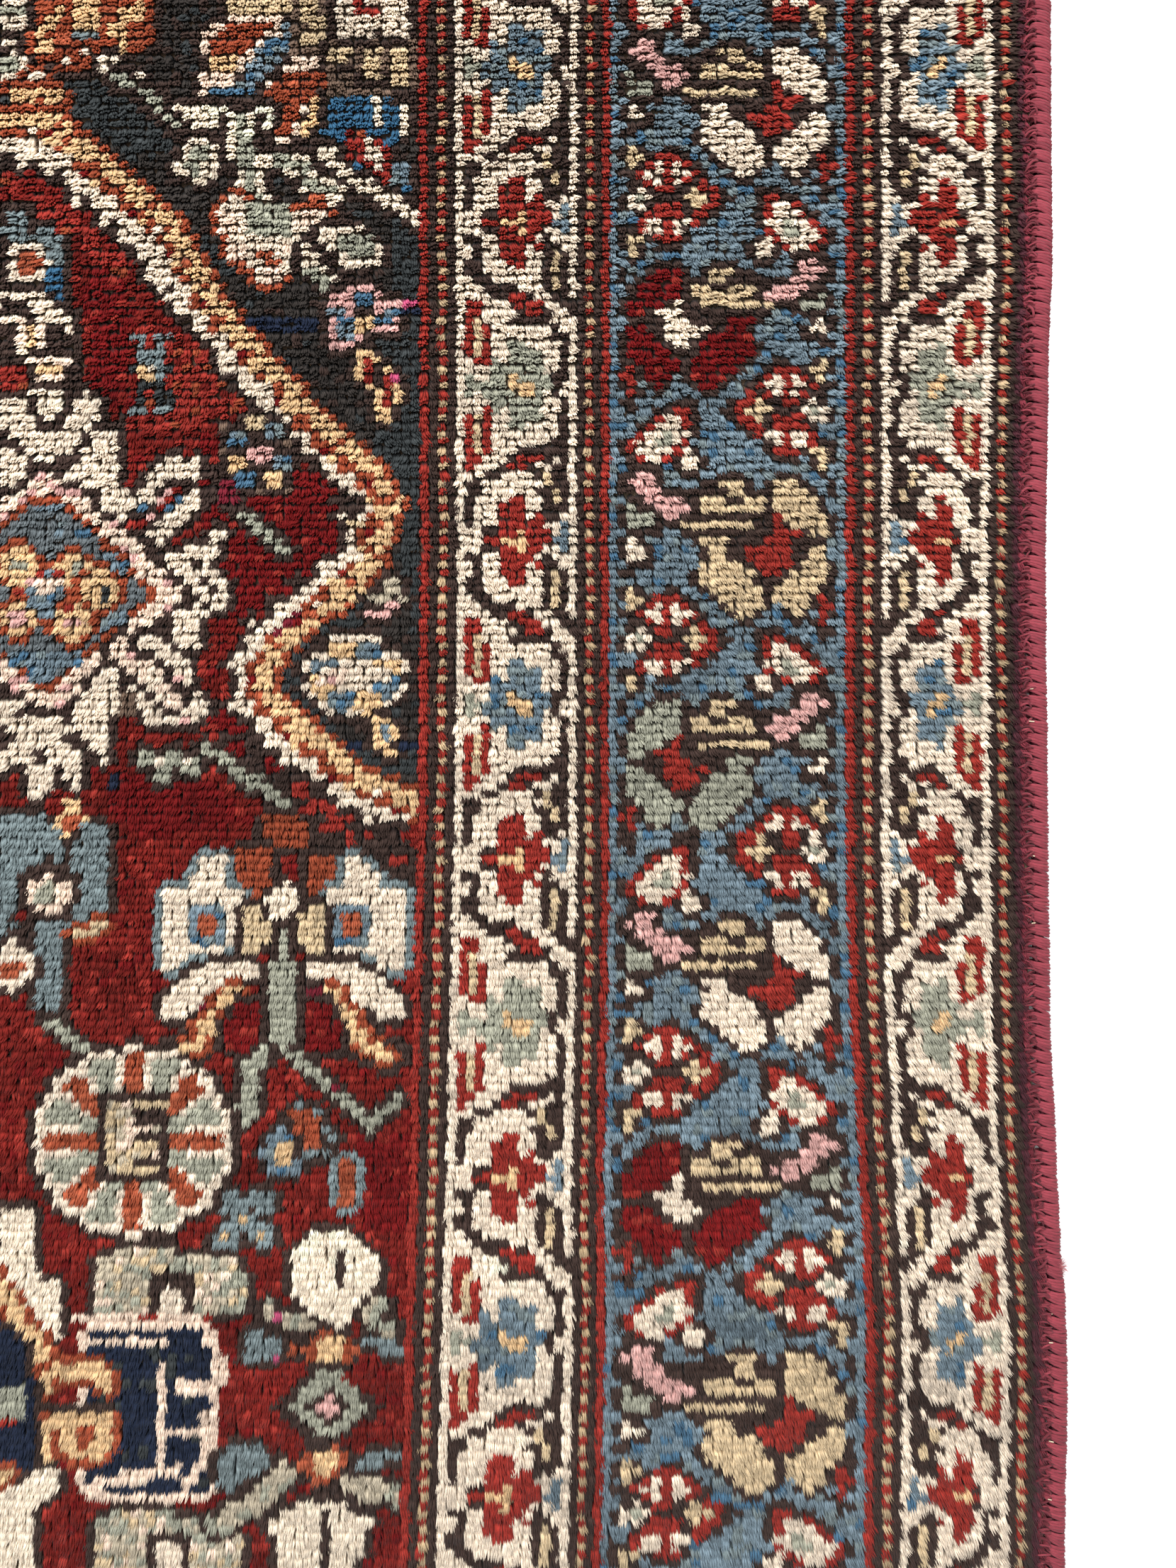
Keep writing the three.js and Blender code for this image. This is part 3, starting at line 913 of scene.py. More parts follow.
# Wool and cotton bend light by about 1.54, and loose fibres hardly mirror at all.
fibre = {"ior": 1.54, "specular": 0.12}


def newMaterial(name, roughness, sheen=0.0, sheenRoughness=0.5):
    material = bpy.data.materials.new(name)
    material.use_nodes = True
    tree = material.node_tree
    shader = tree.nodes["Principled BSDF"]
    shader.inputs["Roughness"].default_value = roughness
    shader.inputs["IOR"].default_value = fibre["ior"]
    shader.inputs["Specular IOR Level"].default_value = fibre["specular"]
    shader.inputs["Sheen Weight"].default_value = sheen
    shader.inputs["Sheen Roughness"].default_value = sheenRoughness
    return material, tree, shader


# Lean of the pile: down the picture and a little to the right, as it was brushed.
# Roots stand back and aside from their knots by so many millimetres, so that the tips cover them.
nap = {"lean": math.radians(37), "turn": math.radians(14), "back": 2.75, "aside": 1.0}


def woolPileMaterial():
    # Hand-spun wool, cut: soft and matt, a faint sheen, streaks along the nap, and painted shade: the colour
    # darkens lower down in the pile, between the knots.
    look = {
        "roughness": 0.9, "sheen": 0.05, "sheenRoughness": 0.4,
        "lockWidth": 0.45 * mm, "lockLength": 5 * mm,  # coarser than real fibres, so that they show
        "streak": (0.78, 1.14), "relief": 0.25 * mm, "reliefStrength": 0.55,
        "paintedRootShade": 0.64, "shadeFrom": 4.2 * mm, "shadeTo": 6.4 * mm,
    }
    material, tree, shader = newMaterial("wool pile, cut", look["roughness"], look["sheen"],
                                         look["sheenRoughness"])
    yarn = node(tree, "ShaderNodeAttribute", {"attribute_name": "yarn"}).outputs["Color"]
    strand = node(tree, "ShaderNodeAttribute", {"attribute_name": "tone"}).outputs["Fac"]
    place = node(tree, "ShaderNodeTexCoord").outputs["Object"]
    locks = node(tree, "ShaderNodeMapping", {"vector_type": "TEXTURE"}, Vector=place,
                 Rotation=(nap["lean"], 0, nap["turn"]),
                 Scale=(look["lockWidth"], look["lockWidth"], look["lockLength"])).outputs["Vector"]
    streaks = node(tree, "ShaderNodeTexNoise", Vector=locks, Scale=1.0, Detail=2.0,
                   Roughness=0.6).outputs["Fac"]
    tone = node(tree, "ShaderNodeMapRange", Value=streaks, From_Min=0.3, From_Max=0.7,
                To_Min=look["streak"][0], To_Max=look["streak"][1]).outputs["Result"]
    # painted shade: lower in the pile the yarn colour is darkened, down to paintedRootShade, where the knots
    # shade each other
    height = node(tree, "ShaderNodeSeparateXYZ", Vector=place).outputs["Z"]
    depth = node(tree, "ShaderNodeMapRange", Value=height, From_Min=slabLow.z + look["shadeFrom"],
                 From_Max=slabLow.z + look["shadeTo"], To_Min=look["paintedRootShade"], To_Max=1.0).outputs["Result"]
    light = node(tree, "ShaderNodeMath", {"operation": "MULTIPLY"}, in0=tone, in1=depth).outputs["Value"]
    light = node(tree, "ShaderNodeMath", {"operation": "MULTIPLY"}, in0=light, in1=strand).outputs["Value"]
    shaded = node(tree, "ShaderNodeVectorMath", {"operation": "SCALE"}, Vector=yarn,
                  Scale=light).outputs["Vector"]
    bump = node(tree, "ShaderNodeBump", Strength=look["reliefStrength"], Distance=look["relief"],
                Height=streaks)
    tree.links.new(shaded, shader.inputs["Base Color"])
    tree.links.new(bump.outputs["Normal"], shader.inputs["Normal"])
    return material


def mappedMesh(name, points, faces, uvs, flat=0):
    # a mesh with its bake map; the last faces are flat, as many as flat says
    mesh = bpy.data.meshes.new(name)
    mesh.from_pydata(points, [], faces)
    mesh.polygons.foreach_set("use_smooth", [number < len(faces) - flat for number in range(len(faces))])
    layer = mesh.uv_layers.new(name="OFBake")
    layer.data.foreach_set("uv", np.array(uvs, np.float32).ravel())
    return mesh


# One knot's tuft: the two cut ends of the yarn, as eight tapering strands in two rows. Millimetres.
tuft = {
    "rise": 5.3, "width": 3.5, "strands": 4, "radius": 1.3, "rowUp": (0.45, -0.45), "rowShift": (0.3, 0.7),
    "sink": 0.3, "rootSpread": 0.75, "rootStray": 0.1, "facing": 0.5,
    "fan": 1.1, "tipStray": 0.18, "tipRaise": (0.1, 0.2), "rag": 0.35,
    "tone": 0.16, "kinds": 8, "seed": 11,
}


def tuftMesh(name, dice):
    lean = nap["lean"]
    axis = Vector((0, -math.sin(lean), math.cos(lean)))
    over = Vector((0, math.cos(lean), math.sin(lean)))
    side = Vector((1, 0, 0))
    reach = tuft["rise"] / math.cos(lean)
    total = len(tuft["rowUp"]) * tuft["strands"]
    points, faces, tones, uvs = [], [], [], []
    for up, shift in zip(tuft["rowUp"], tuft["rowShift"]):
        for strand in range(tuft["strands"]):
            place = (strand + shift) / tuft["strands"] - 0.5
            across = place * tuft["width"] + dice.normal(0, tuft["rootStray"])
            middle = over * (up + dice.normal(0, tuft["rootStray"]))
            start = len(points)
            facing = math.pi / 2 + dice.uniform(-tuft["facing"], tuft["facing"])
            for corner in range(3):
                turn = facing + 2 * math.pi * corner / 3
                spot = side * (across * tuft["rootSpread"] + math.cos(turn) * tuft["radius"])
                spot += over * math.sin(turn) * tuft["radius"]
                points.append(middle + spot - axis * tuft["sink"])
            end = side * (across * tuft["fan"] + dice.normal(0, tuft["tipStray"]))
            end += over * dice.normal(*tuft["tipRaise"])
            points.append(middle + end + axis * (reach - tuft["rag"] * dice.uniform(0, 2)))
            a, b, c, tip = range(start, start + 4)
            faces += [(a, b, tip), (b, c, tip), (c, a, tip), (c, b, a)]
            tones += [1 + tuft["tone"] * dice.uniform(-1, 1)] * 4
            # the bake map: each strand has its own column, its root in the middle of its three sides
            left, wide = (len(points) // 4 - 1) / total, 1 / total
            rim = [(left + wide * u, v) for u, v in ((0.1, 0.05), (0.9, 0.05), (0.5, 0.35))]
            apex = (left + 0.5 * wide, 0.95)
            uvs += [rim[0], rim[1], apex, rim[1], rim[2], apex, rim[2], rim[0], apex, *rim[::-1]]
    mesh = mappedMesh(name, [point * mm for point in points], faces, uvs)
    tone = mesh.attributes.new("tone", "FLOAT", "FACE")
    tone.data.foreach_set("value", np.array(tones, np.float32))
    return mesh


def plantingTree(kindCount):
    # Geometry Nodes that put one of several shapes on every point, with the point's yarn, size and turn
    tree = bpy.data.node_groups.new("plantOnPoints", "GeometryNodeTree")
    sockets = {"Points": "Geometry", "Kinds": "Collection", "Turn spread": "Float", "Tip spread": "Float",
               "Size spread": "Float", "Cell": "Vector", "Seed": "Int", "Finish": "Material"}
    for name, kind in sockets.items():
        tree.interface.new_socket(name, in_out="INPUT", socket_type="NodeSocket" + kind)
    tree.interface.new_socket("Made", in_out="OUTPUT", socket_type="NodeSocketGeometry")
    given = node(tree, "NodeGroupInput").outputs
    kinds = node(tree, "GeometryNodeCollectionInfo", in0=given["Kinds"], Separate_Children=True,
                 Reset_Children=True)
    pick = node(tree, "FunctionNodeRandomValue", {"data_type": "INT"}, Min=0, Max=kindCount - 1,
                Seed=given["Seed"])

    def spread(amount, salt):
        # a random value from -amount to amount
        seed = node(tree, "ShaderNodeMath", {"operation": "ADD"}, in0=given["Seed"],
                    in1=salt).outputs["Value"]
        low = node(tree, "ShaderNodeMath", {"operation": "MULTIPLY"}, in0=amount, in1=-1.0).outputs["Value"]
        return node(tree, "FunctionNodeRandomValue", {"data_type": "FLOAT"}, Min=low, Max=amount,
                    Seed=seed).outputs[1]

    def stored(name):
        return node(tree, "GeometryNodeInputNamedAttribute", {"data_type": "FLOAT_VECTOR"},
                    Name=name).outputs[0]

    loose = node(tree, "ShaderNodeCombineXYZ", X=spread(given["Tip spread"], 1),
                 Y=spread(given["Tip spread"], 2), Z=spread(given["Turn spread"], 3)).outputs["Vector"]
    turned = node(tree, "ShaderNodeVectorMath", {"operation": "ADD"}, in0=stored("turn"), in1=loose)
    grown = node(tree, "ShaderNodeMath", {"operation": "ADD"}, in0=spread(given["Size spread"], 4), in1=1.0)
    scaled = node(tree, "ShaderNodeVectorMath", {"operation": "SCALE"}, Vector=stored("size"),
                  Scale=grown.outputs["Value"])
    planted = node(tree, "GeometryNodeInstanceOnPoints", Points=given["Points"], Instance=kinds.outputs[0],
                   Pick_Instance=True, Instance_Index=pick.outputs[2], Rotation=turned.outputs["Vector"],
                   Scale=scaled.outputs["Vector"])
    real = node(tree, "GeometryNodeRealizeInstances", Geometry=planted.outputs[0])
    inCell = node(tree, "ShaderNodeVectorMath", {"operation": "MULTIPLY_ADD"}, in0=stored("OFBake"),
                  in1=given["Cell"], in2=stored("cell"))
    mapped = node(tree, "GeometryNodeStoreNamedAttribute", {"data_type": "FLOAT2", "domain": "CORNER"},
                  Geometry=real.outputs[0], Name="OFBake", Value=inCell.outputs["Vector"])
    dressed = node(tree, "GeometryNodeSetMaterial", Geometry=mapped.outputs[0], Material=given["Finish"])
    node(tree, "NodeGroupOutput", in0=dressed.outputs[0])
    return tree


def addPiece(name, mesh):
    piece = bpy.data.objects.new(name, mesh)
    bpy.context.collection.objects.link(piece)
    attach(piece, "root")
    print("made", name, len(mesh.polygons), "faces")
    return piece


def plant(name, points, kinds, finish, seed=0, cell=(1, 1, 0), turnSpread=0.0, tipSpread=0.0, sizeSpread=0.0):
    # plants the meshes in kinds on the points and keeps the result as a plain mesh
    shelf = bpy.data.collections.new("kinds")
    for number, mesh in enumerate(kinds):
        shelf.objects.link(bpy.data.objects.new(f"kind{number}", mesh))
    tree = plantingTree(len(kinds))
    carrier = bpy.data.objects.new(name + "Points", points)
    bpy.context.collection.objects.link(carrier)
    modifier = carrier.modifiers.new("nodes", "NODES")
    modifier.node_group = tree
    inputs = {"Kinds": shelf, "Turn spread": turnSpread, "Tip spread": tipSpread, "Size spread": sizeSpread,
              "Cell": cell, "Seed": seed, "Finish": finish}
    for item in tree.interface.items_tree:
        if item.item_type == "SOCKET" and item.in_out == "INPUT" and item.name in inputs:
            modifier[item.identifier] = inputs[item.name]
    depsgraph = bpy.context.evaluated_depsgraph_get()
    mesh = bpy.data.meshes.new_from_object(carrier.evaluated_get(depsgraph), preserve_all_data_layers=True,
                                           depsgraph=depsgraph)
    for made in [carrier, *shelf.objects]:
        bpy.data.objects.remove(made)
    bpy.data.collections.remove(shelf)
    for label in ("size", "turn", "cell"):
        if label in mesh.attributes:
            mesh.attributes.remove(mesh.attributes[label])
    mesh.name = name
    return addPiece(name, mesh)


def pointMesh(name, places, **attributes):
    # points with what the planting tree reads: colours have four numbers, the rest three
    mesh = bpy.data.meshes.new(name)
    mesh.from_pydata([tuple(place) for place in places], [], [])
    for label, values in attributes.items():
        values = np.asarray(values, np.float32)
        if values.shape[1] == 4:
            made = mesh.attributes.new(label, "FLOAT_COLOR", "POINT")
            made.data.foreach_set("color", values.ravel())
        else:
            made = mesh.attributes.new(label, "FLOAT_VECTOR", "POINT")
            made.data.foreach_set("vector", values.ravel())
    return mesh


def cellsFor(count):
    # a square of bake cells, one for each instance, and the size of a cell
    side = math.ceil(math.sqrt(count))
    corners = [(number % side / side, number // side / side, 0) for number in range(count)]
    return corners, (1 / side, 1 / side, 0)


def softNoise(dice, shape, size):
    # smooth noise of about unit strength, with patches of size knots
    coarse = dice.normal(0, 1, (int(shape[0] / size) + 3, int(shape[1] / size) + 3))
    r = np.linspace(0, coarse.shape[0] - 1.001, shape[0])
    c = np.linspace(0, coarse.shape[1] - 1.001, shape[1])
    r0, c0 = r.astype(int), c.astype(int)
    fr, fc = (r - r0)[:, None], (c - c0)[None]
    fr, fc = fr * fr * (3 - 2 * fr), fc * fc * (3 - 2 * fc)
    top = coarse[r0][:, c0] * (1 - fc) + coarse[r0][:, c0 + 1] * fc
    low = coarse[r0 + 1][:, c0] * (1 - fc) + coarse[r0 + 1][:, c0 + 1] * fc
    return top * (1 - fr) + low * fr


# How uneven the hand dyeing is, as shares of a colour's lightness, in patches of so many knots.
dyeing = {
    "lot": 0.05, "lotRows": 4, "patch": 0.06, "patchKnots": 7, "knot": 0.07, "range": (0.55, 1.6),
    "uneven": {"madder": 0.16, "garnet": 0.12, "sea": 0.14, "night": 0.12, "brick": 0.1, "rust": 0.1},
    "unevenKnots": 5,
    "orange": 0.07, "pale": 0.12, "deep": 0.12,  # shares of knots that took another dye
}


def yarnColours():
    # every knot's own colour: the dye lot by rows, patches, and a little from knot to knot
    dice = np.random.default_rng(knotGrid["seed"])
    palette = np.array([linear(wool[shade]) for shade in shades])
    colours = palette[cartoon]
    lot = softNoise(dice, (rows, 1), dyeing["lotRows"]) * dyeing["lot"]
    patch = softNoise(dice, (rows, columns), dyeing["patchKnots"])
    own = dice.normal(0, dyeing["knot"], (rows, columns))
    tone = 1 + lot + dyeing["patch"] * patch + own
    for name, depth in dyeing["uneven"].items():
        noise = softNoise(dice, (rows, columns), dyeing["unevenKnots"])
        tone = np.where(cartoon == shades.index(name), tone + depth * noise, tone)
    colours = colours * np.clip(tone, *dyeing["range"])[..., None]
    # now and then a knot of madder that took more orange, and of blue that took less or more indigo
    fleck = dice.uniform(0, 1, (rows, columns))
    madder = np.isin(cartoon, [shades.index("madder"), shades.index("garnet")])
    colours[madder & (fleck > 1 - dyeing["orange"])] = np.array(linear(wool["poppy"])) * 0.95
    blues = cartoon == shades.index("sea")
    colours[blues & (fleck > 1 - dyeing["pale"])] = np.array(linear(wool["sky"]))
    colours[blues & (fleck < dyeing["deep"])] = np.array(linear(wool["blue"]))
    return np.clip(colours, 0, 1)


knotColours = yarnColours()

pile = {
    "turnSpread": math.radians(17), "tipSpread": math.radians(9), "sizeSpread": 0.1,
    # in millimetres: the knot that the tuft is drawn for, how far roots stray, how far they keep off the cuts
    "knot": (3.45, 3.12), "rootStray": (0.2, 0.24), "cutClear": (1.6, 1.4),
    # the pile is worn shorter beside the overcast edge, by this share over this width
    "edgeWear": 0.33, "edgeWidth": 5,
    # piece: first column, last column, top row, bottom row
    "pieces": {
        "pile_field_upper": (0, 48, 0, 101),
        "pile_field_lower": (0, 48, 101, 202),
        "pile_inner_guard": (48, 71, 0, 202),
        "pile_main_border": (71, 95, 0, 202),
        "pile_outer_guard": (95, 117, 0, 202),
    },
}
# underPileShade is painted shade: the foundation's top face under the tufts is coloured dark brown
backing = {"thickness": 3 * mm, "mapShare": 0.94, "groove": "#a99a80", "cotton": "#cdbf9f",
           "underPileShade": "#6b5848"}


def knotPoints(first, last, top, bottom):
    # roots of the knots in columns first to last and rows top to bottom, with what the planting tree reads
    dice = np.random.default_rng(1000 * first + top)
    knotWide, knotTall = pile["knot"]
    strayAside, strayBack = pile["rootStray"]
    clearX, clearY = pile["cutClear"]
    strips = 1 if last - first > 40 else 2  # a narrow piece fills its bake map in two strips
    tall = math.ceil((bottom - top) / strips)
    places, yarn, size, turn, cell = [], [], [], [], []
    for r in range(top, bottom):
        y = slabHigh.y - (r + 0.5) * rowPitch
        edges = columnX(np.arange(first, last + 1), y)
        for c in range(first, last):
            left, right = edges[c - first], edges[c - first + 1]
            wide = (right - left) / (knotWide * mm)
            fromWall = np.interp(y, wallY, wallX) - right
            low = 1 - pile["edgeWear"] * max(0, 1 - fromWall / (pile["edgeWidth"] * mm))
            x = (left + right) / 2 - (nap["aside"] + dice.normal(0, strayAside)) * mm
            back = min(nap["back"] * mm, slabHigh.y - clearY * mm - y)  # the first rows stand straighter
            lean = math.asin(math.sin(nap["lean"]) * max(back, 0) / (nap["back"] * mm))
            y1 = y + back + dice.normal(0, strayBack) * mm
            places.append((max(x, slabLow.x + clearX * mm), y1, slabLow.z + backing["thickness"]))
            yarn.append((*knotColours[r, c], 1))
            size.append((wide, rowPitch / (knotTall * mm), low))
            turn.append((lean - nap["lean"], 0, nap["turn"]))
            strip = (r - top) // tall
            cell.append(((c - first + strip * (last - first)) / ((last - first) * strips),
                         (r - top) % tall / tall, 0))
    mesh = pointMesh("knots", places, yarn=yarn, size=size, turn=turn, cell=cell)
    return mesh, (1 / ((last - first) * strips), 1 / tall, 0)


def plantPile():
    dice = np.random.default_rng(tuft["seed"])
    kinds = [tuftMesh(f"tuft{number}", dice) for number in range(tuft["kinds"])]
    finish = woolPileMaterial()
    pieces = []
    for name, (first, last, top, bottom) in pile["pieces"].items():
        points, cell = knotPoints(first, last, top, bottom)
        piece = plant(name, points, kinds, finish, first + top, cell,
                      pile["turnSpread"], pile["tipSpread"], pile["sizeSpread"])
        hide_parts("knotted_rug")
        pieces.append(piece)
    return pieces


pilePieces = plantPile()


def cottonMaterial():
    # Undyed cotton, spun hard for warps and wefts: matt, with a fine twist of 0.45 mm.
    look = {"roughness": 0.85, "dark": "#a8987b", "pale": "#e6dac0", "twist": mm / 2.2,
            "relief": 0.15 * mm, "reliefStrength": 0.5}
    material, tree, shader = newMaterial("cotton yarn", look["roughness"])
    place = node(tree, "ShaderNodeTexCoord").outputs["Object"]
    twist = node(tree, "ShaderNodeTexNoise", Vector=place, Scale=1 / look["twist"], Detail=2.0).outputs["Fac"]
    share = node(tree, "ShaderNodeMapRange", Value=twist, From_Min=0.3, From_Max=0.7).outputs["Result"]
    colour = node(tree, "ShaderNodeMix", {"data_type": "RGBA"}, in0=share, in6=(*linear(look["dark"]), 1),
                  in7=(*linear(look["pale"]), 1)).outputs[2]
    bump = node(tree, "ShaderNodeBump", Strength=look["reliefStrength"], Distance=look["relief"],
                Height=twist).outputs["Normal"]
    tree.links.new(colour, shader.inputs["Base Color"])
    tree.links.new(bump, shader.inputs["Normal"])
    return material


def backMaterial():
    # The back of the knots: two wool nodes to a knot, beaten down hard, with cotton weft between the rows.
    look = {"roughness": 0.88, "relief": 0.5 * mm, "reliefStrength": 0.8, "weft": 0.4, "valleyShade": 0.6,
            "crown": 1.05}
    material, tree, shader = newMaterial("knotted back, wool on cotton", look["roughness"])
    yarn = node(tree, "ShaderNodeAttribute", {"attribute_name": "yarn"}).outputs["Color"]
    place = node(tree, "ShaderNodeUVMap", {"uv_map": "OFBake"}).outputs["UV"]
    split = node(tree, "ShaderNodeSeparateXYZ", Vector=place)
    waves = []
    for axis, turns in (("X", 2 * columns), ("Y", rows)):
        angle = node(tree, "ShaderNodeMath", {"operation": "MULTIPLY"}, in0=split.outputs[axis],
                     in1=math.pi * turns / backing["mapShare"]).outputs["Value"]
        sine = node(tree, "ShaderNodeMath", {"operation": "SINE"}, in0=angle).outputs["Value"]
        waves.append(node(tree, "ShaderNodeMath", {"operation": "ABSOLUTE"}, in0=sine).outputs["Value"])
    nodes = node(tree, "ShaderNodeMath", {"operation": "MULTIPLY"}, in0=waves[0],
                 in1=waves[1]).outputs["Value"]
    weft = node(tree, "ShaderNodeMapRange", Value=waves[1], From_Min=0.0, From_Max=0.45,
                To_Min=look["weft"], To_Max=0.0)
    mixed = node(tree, "ShaderNodeMix", {"data_type": "RGBA"}, in0=weft.outputs["Result"], in6=yarn,
                 in7=(*linear(backing["groove"]), 1)).outputs[2]
    # painted shade and light: the colour is darkened in the hollows between the wool nodes and lightened a
    # little on their crowns
    shade = node(tree, "ShaderNodeMapRange", Value=nodes, From_Min=0.0, From_Max=0.8,
                 To_Min=look["valleyShade"], To_Max=look["crown"])
    shaded = node(tree, "ShaderNodeVectorMath", {"operation": "SCALE"}, Vector=mixed,
                  Scale=shade.outputs["Result"])
    bump = node(tree, "ShaderNodeBump", Strength=look["reliefStrength"], Distance=look["relief"],
                Height=nodes).outputs["Normal"]
    tree.links.new(shaded.outputs["Vector"], shader.inputs["Base Color"])
    tree.links.new(bump, shader.inputs["Normal"])
    return material


def makeFoundation():
    # warps, wefts and the knots' backs: a fine grid below, walls round it, and one face above under the pile,
    # coloured dark as painted shade
    share = backing["mapShare"]
    points = []
    for r in range(rows + 1):
        y = slabHigh.y - r * rowPitch
        points += [(columnX(c, y), y, slabLow.z) for c in range(columns + 1)]
    across = columns + 1
    rim = list(range(across)) + [r * across + columns for r in range(1, rows + 1)]
    rim += [rows * across + c for c in range(columns - 1, -1, -1)]
    rim += [r * across for r in range(rows - 1, 0, -1)]
    faces, uvs, yarn = [], [], []
    for r in range(rows):
        for c in range(columns):
            corners = ((c, r), (c + 1, r), (c + 1, r + 1), (c, r + 1))
            faces.append(tuple(v * across + u for u, v in corners))
            uvs += [(share * u / columns, share * v / rows) for u, v in corners]
            yarn += [(*knotColours[r, c], 1)] * 4
    top = len(points)
    points += [(points[a][0], points[a][1], slabLow.z + backing["thickness"]) for a in rim]
    for step in range(len(rim)):
        after = (step + 1) % len(rim)
        faces.append((rim[step], top + step, top + after, rim[after]))
        u = step / len(rim)
        uvs += [(u, 0.96), (u, 0.98), (u + 1 / len(rim), 0.98), (u + 1 / len(rim), 0.96)]
        yarn += [(*linear(backing["cotton"]), 1)] * 4
    faces.append(tuple(top + step for step in range(len(rim) - 1, -1, -1)))
    low, span = np.array(slabLow[:2]), np.array(slabHigh[:2]) - np.array(slabLow[:2])
    uvs += [tuple(0.95 + 0.04 * (np.array(points[a][:2]) - low) / span) for a in faces[-1]]
    # painted shade: the face under the pile takes a dark colour where the tufts shade it
    yarn += [(*linear(backing["underPileShade"]), 1)] * len(rim)
    mesh = mappedMesh("foundation", points, faces, uvs, flat=len(faces))
    colours = mesh.attributes.new("yarn", "FLOAT_COLOR", "CORNER")
    colours.data.foreach_set("color", np.array(yarn, np.float32).ravel())
    mesh.materials.append(backMaterial())
    piece = addPiece("foundation", mesh)
    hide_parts("knotted_rug")
    return piece


def threadEnd(name, radius, length, sides=6):
    # a short thread end that points along -Y, with a soft cut
    rings = ((1.0, 1.0), (-0.7, 1.0), (-1.0, 0.6))
    turns = [2 * math.pi * step / sides for step in range(sides)]
    points, faces = [], []
    for along, wide in rings:
        points += [(radius * wide * math.cos(turn) * mm, along * length * mm,
                    radius * wide * math.sin(turn) * mm) for turn in turns]
    for ring in range(len(rings) - 1):
        near, far = ring * sides, (ring + 1) * sides
        for step in range(sides):
            after = (step + 1) % sides
            faces.append((near + step, near + after, far + after, far + step))
    faces.append(tuple(range(sides - 1, -1, -1)))
    faces.append(tuple(range(2 * sides, 3 * sides)))
    uvs = []
    for vertex in (corner for face in faces for corner in face):
        out, turn = 0.12 + 0.16 * (vertex // sides), turns[vertex % sides]
        uvs.append((0.5 + out * math.cos(turn), 0.5 + out * math.sin(turn)))
    return mappedMesh(name, points, faces, uvs, flat=len(faces))


# Cut threads, in millimetres. Every other one lies higher, as warps and wefts pass over and under.
cutEnds = {
    "warp": {"radius": 0.48, "low": 1.1, "step": 0.8}, "weft": {"radius": 0.34, "low": 1.0, "step": 0.9},
    "length": 1.0, "proud": 0.45, "wide": (0.85, 1.1), "long": (0.8, 1.2), "turnSpread": math.radians(14),
    "seed": 21,
}


def makeCutEnds(finish):
    # two warps to a knot at both ends, and the wefts, which stand out further, along the cut side
    dice = np.random.default_rng(cutEnds["seed"])
    inside = (cutEnds["length"] - cutEnds["proud"]) * mm
    for kind in ("warp", "weft"):
        thread = cutEnds[kind]
        places, turn = [], []
        if kind == "warp":
            for y, facing in ((slabLow.y, 0.0), (slabHigh.y, math.pi)):
                for half in range(2 * columns):
                    height = (thread["low"] + thread["step"] * (half % 2)) * mm
                    places.append((columnX(half / 2 + 0.25, y), y + inside * math.cos(facing), height))
                    turn.append((0, 0, facing))
        else:
            for half in range(2 * rows):
                height = (thread["low"] + thread["step"] * (half % 2)) * mm
                places.append((slabLow.x - inside, slabHigh.y - (half / 2 + 0.25) * rowPitch, height))
                turn.append((0, 0, -math.pi / 2))
        size = [(dice.uniform(*cutEnds["wide"]), dice.uniform(*cutEnds["long"]), 1) for place in places]
        cells, cell = cellsFor(len(places))
        points = pointMesh("ends", places, size=size, turn=turn, cell=cells)
        name = kind + "_ends"
        piece = plant(name, points, [threadEnd(name, thread["radius"], cutEnds["length"])], finish, 3, cell,
                      cutEnds["turnSpread"])
        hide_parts("knotted_rug")
        yield piece


cotton = cottonMaterial()
foundation = makeFoundation()
threadEnds = list(makeCutEnds(cotton))

# The edge: wool wound over four cotton cords, four turns to a bundle, sloping down to the right. Millimetres.
overcast = {
    "bundles": 130, "turns": 4, "gap": -1.1, "width": 9.0, "height": 7.0, "yarn": 0.62, "oval": 1.1,
    # red is the yarn as lit, and deep is a shaded copy of it, used for painted shade
    "slope": 0.3, "squareness": 2.4, "steps": 14, "sides": 5, "red": "#943f49", "deep": "#6a2d36", "seed": 31,
    "spread": 0.44,                   # half the pitch that the turns of a bundle take
    "tight": 0.13, "drawnIn": 2.2,    # the outer turns of a bundle, smaller and drawn in on the pile's side
    "swell": 0.02, "rise": 0.06, "lean": 0.05, "roll": 0.02, "fan": 0.16, "skew": 0.03,
    "shade": (0.15, 0.3, 0.2, 0.12),  # share of the shaded copy of the red, which is painted shade: on all turns, at random by bundle, more towards -Y across it, and at random by turn
}
# The sewing that runs on into the pile, from under the winding.
sewing = {
    "stitches": 3, "length": 4.6, "yarn": 0.46, "steps": 8, "sides": 5, "kinds": 6,
    "long": (0.7, 1.1), "arch": (0.3, 1.3), "drift": (-1.2, 0.5), "under": 1.6, "crown": 1.1, "dive": 2.2,
    "start": 0.95, "pitch": 0.33, "stray": 0.16, "endClear": 1.5, "aside": 0.3, "height": (5.3, 6.5),
    "shade": (0.1, 0.9), "light": (0.45, 1.1), "size": ((0.5, 1.05), (0.7, 1.2), (0.8, 1.0)),
    "tilt": 0.12, "slant": (0.1, 0.42),
}
cords = {"radius": 0.9, "apart": 1.25, "oval": 1.2, "sides": 10, "stations": 64, "shade": "#3c141c"}


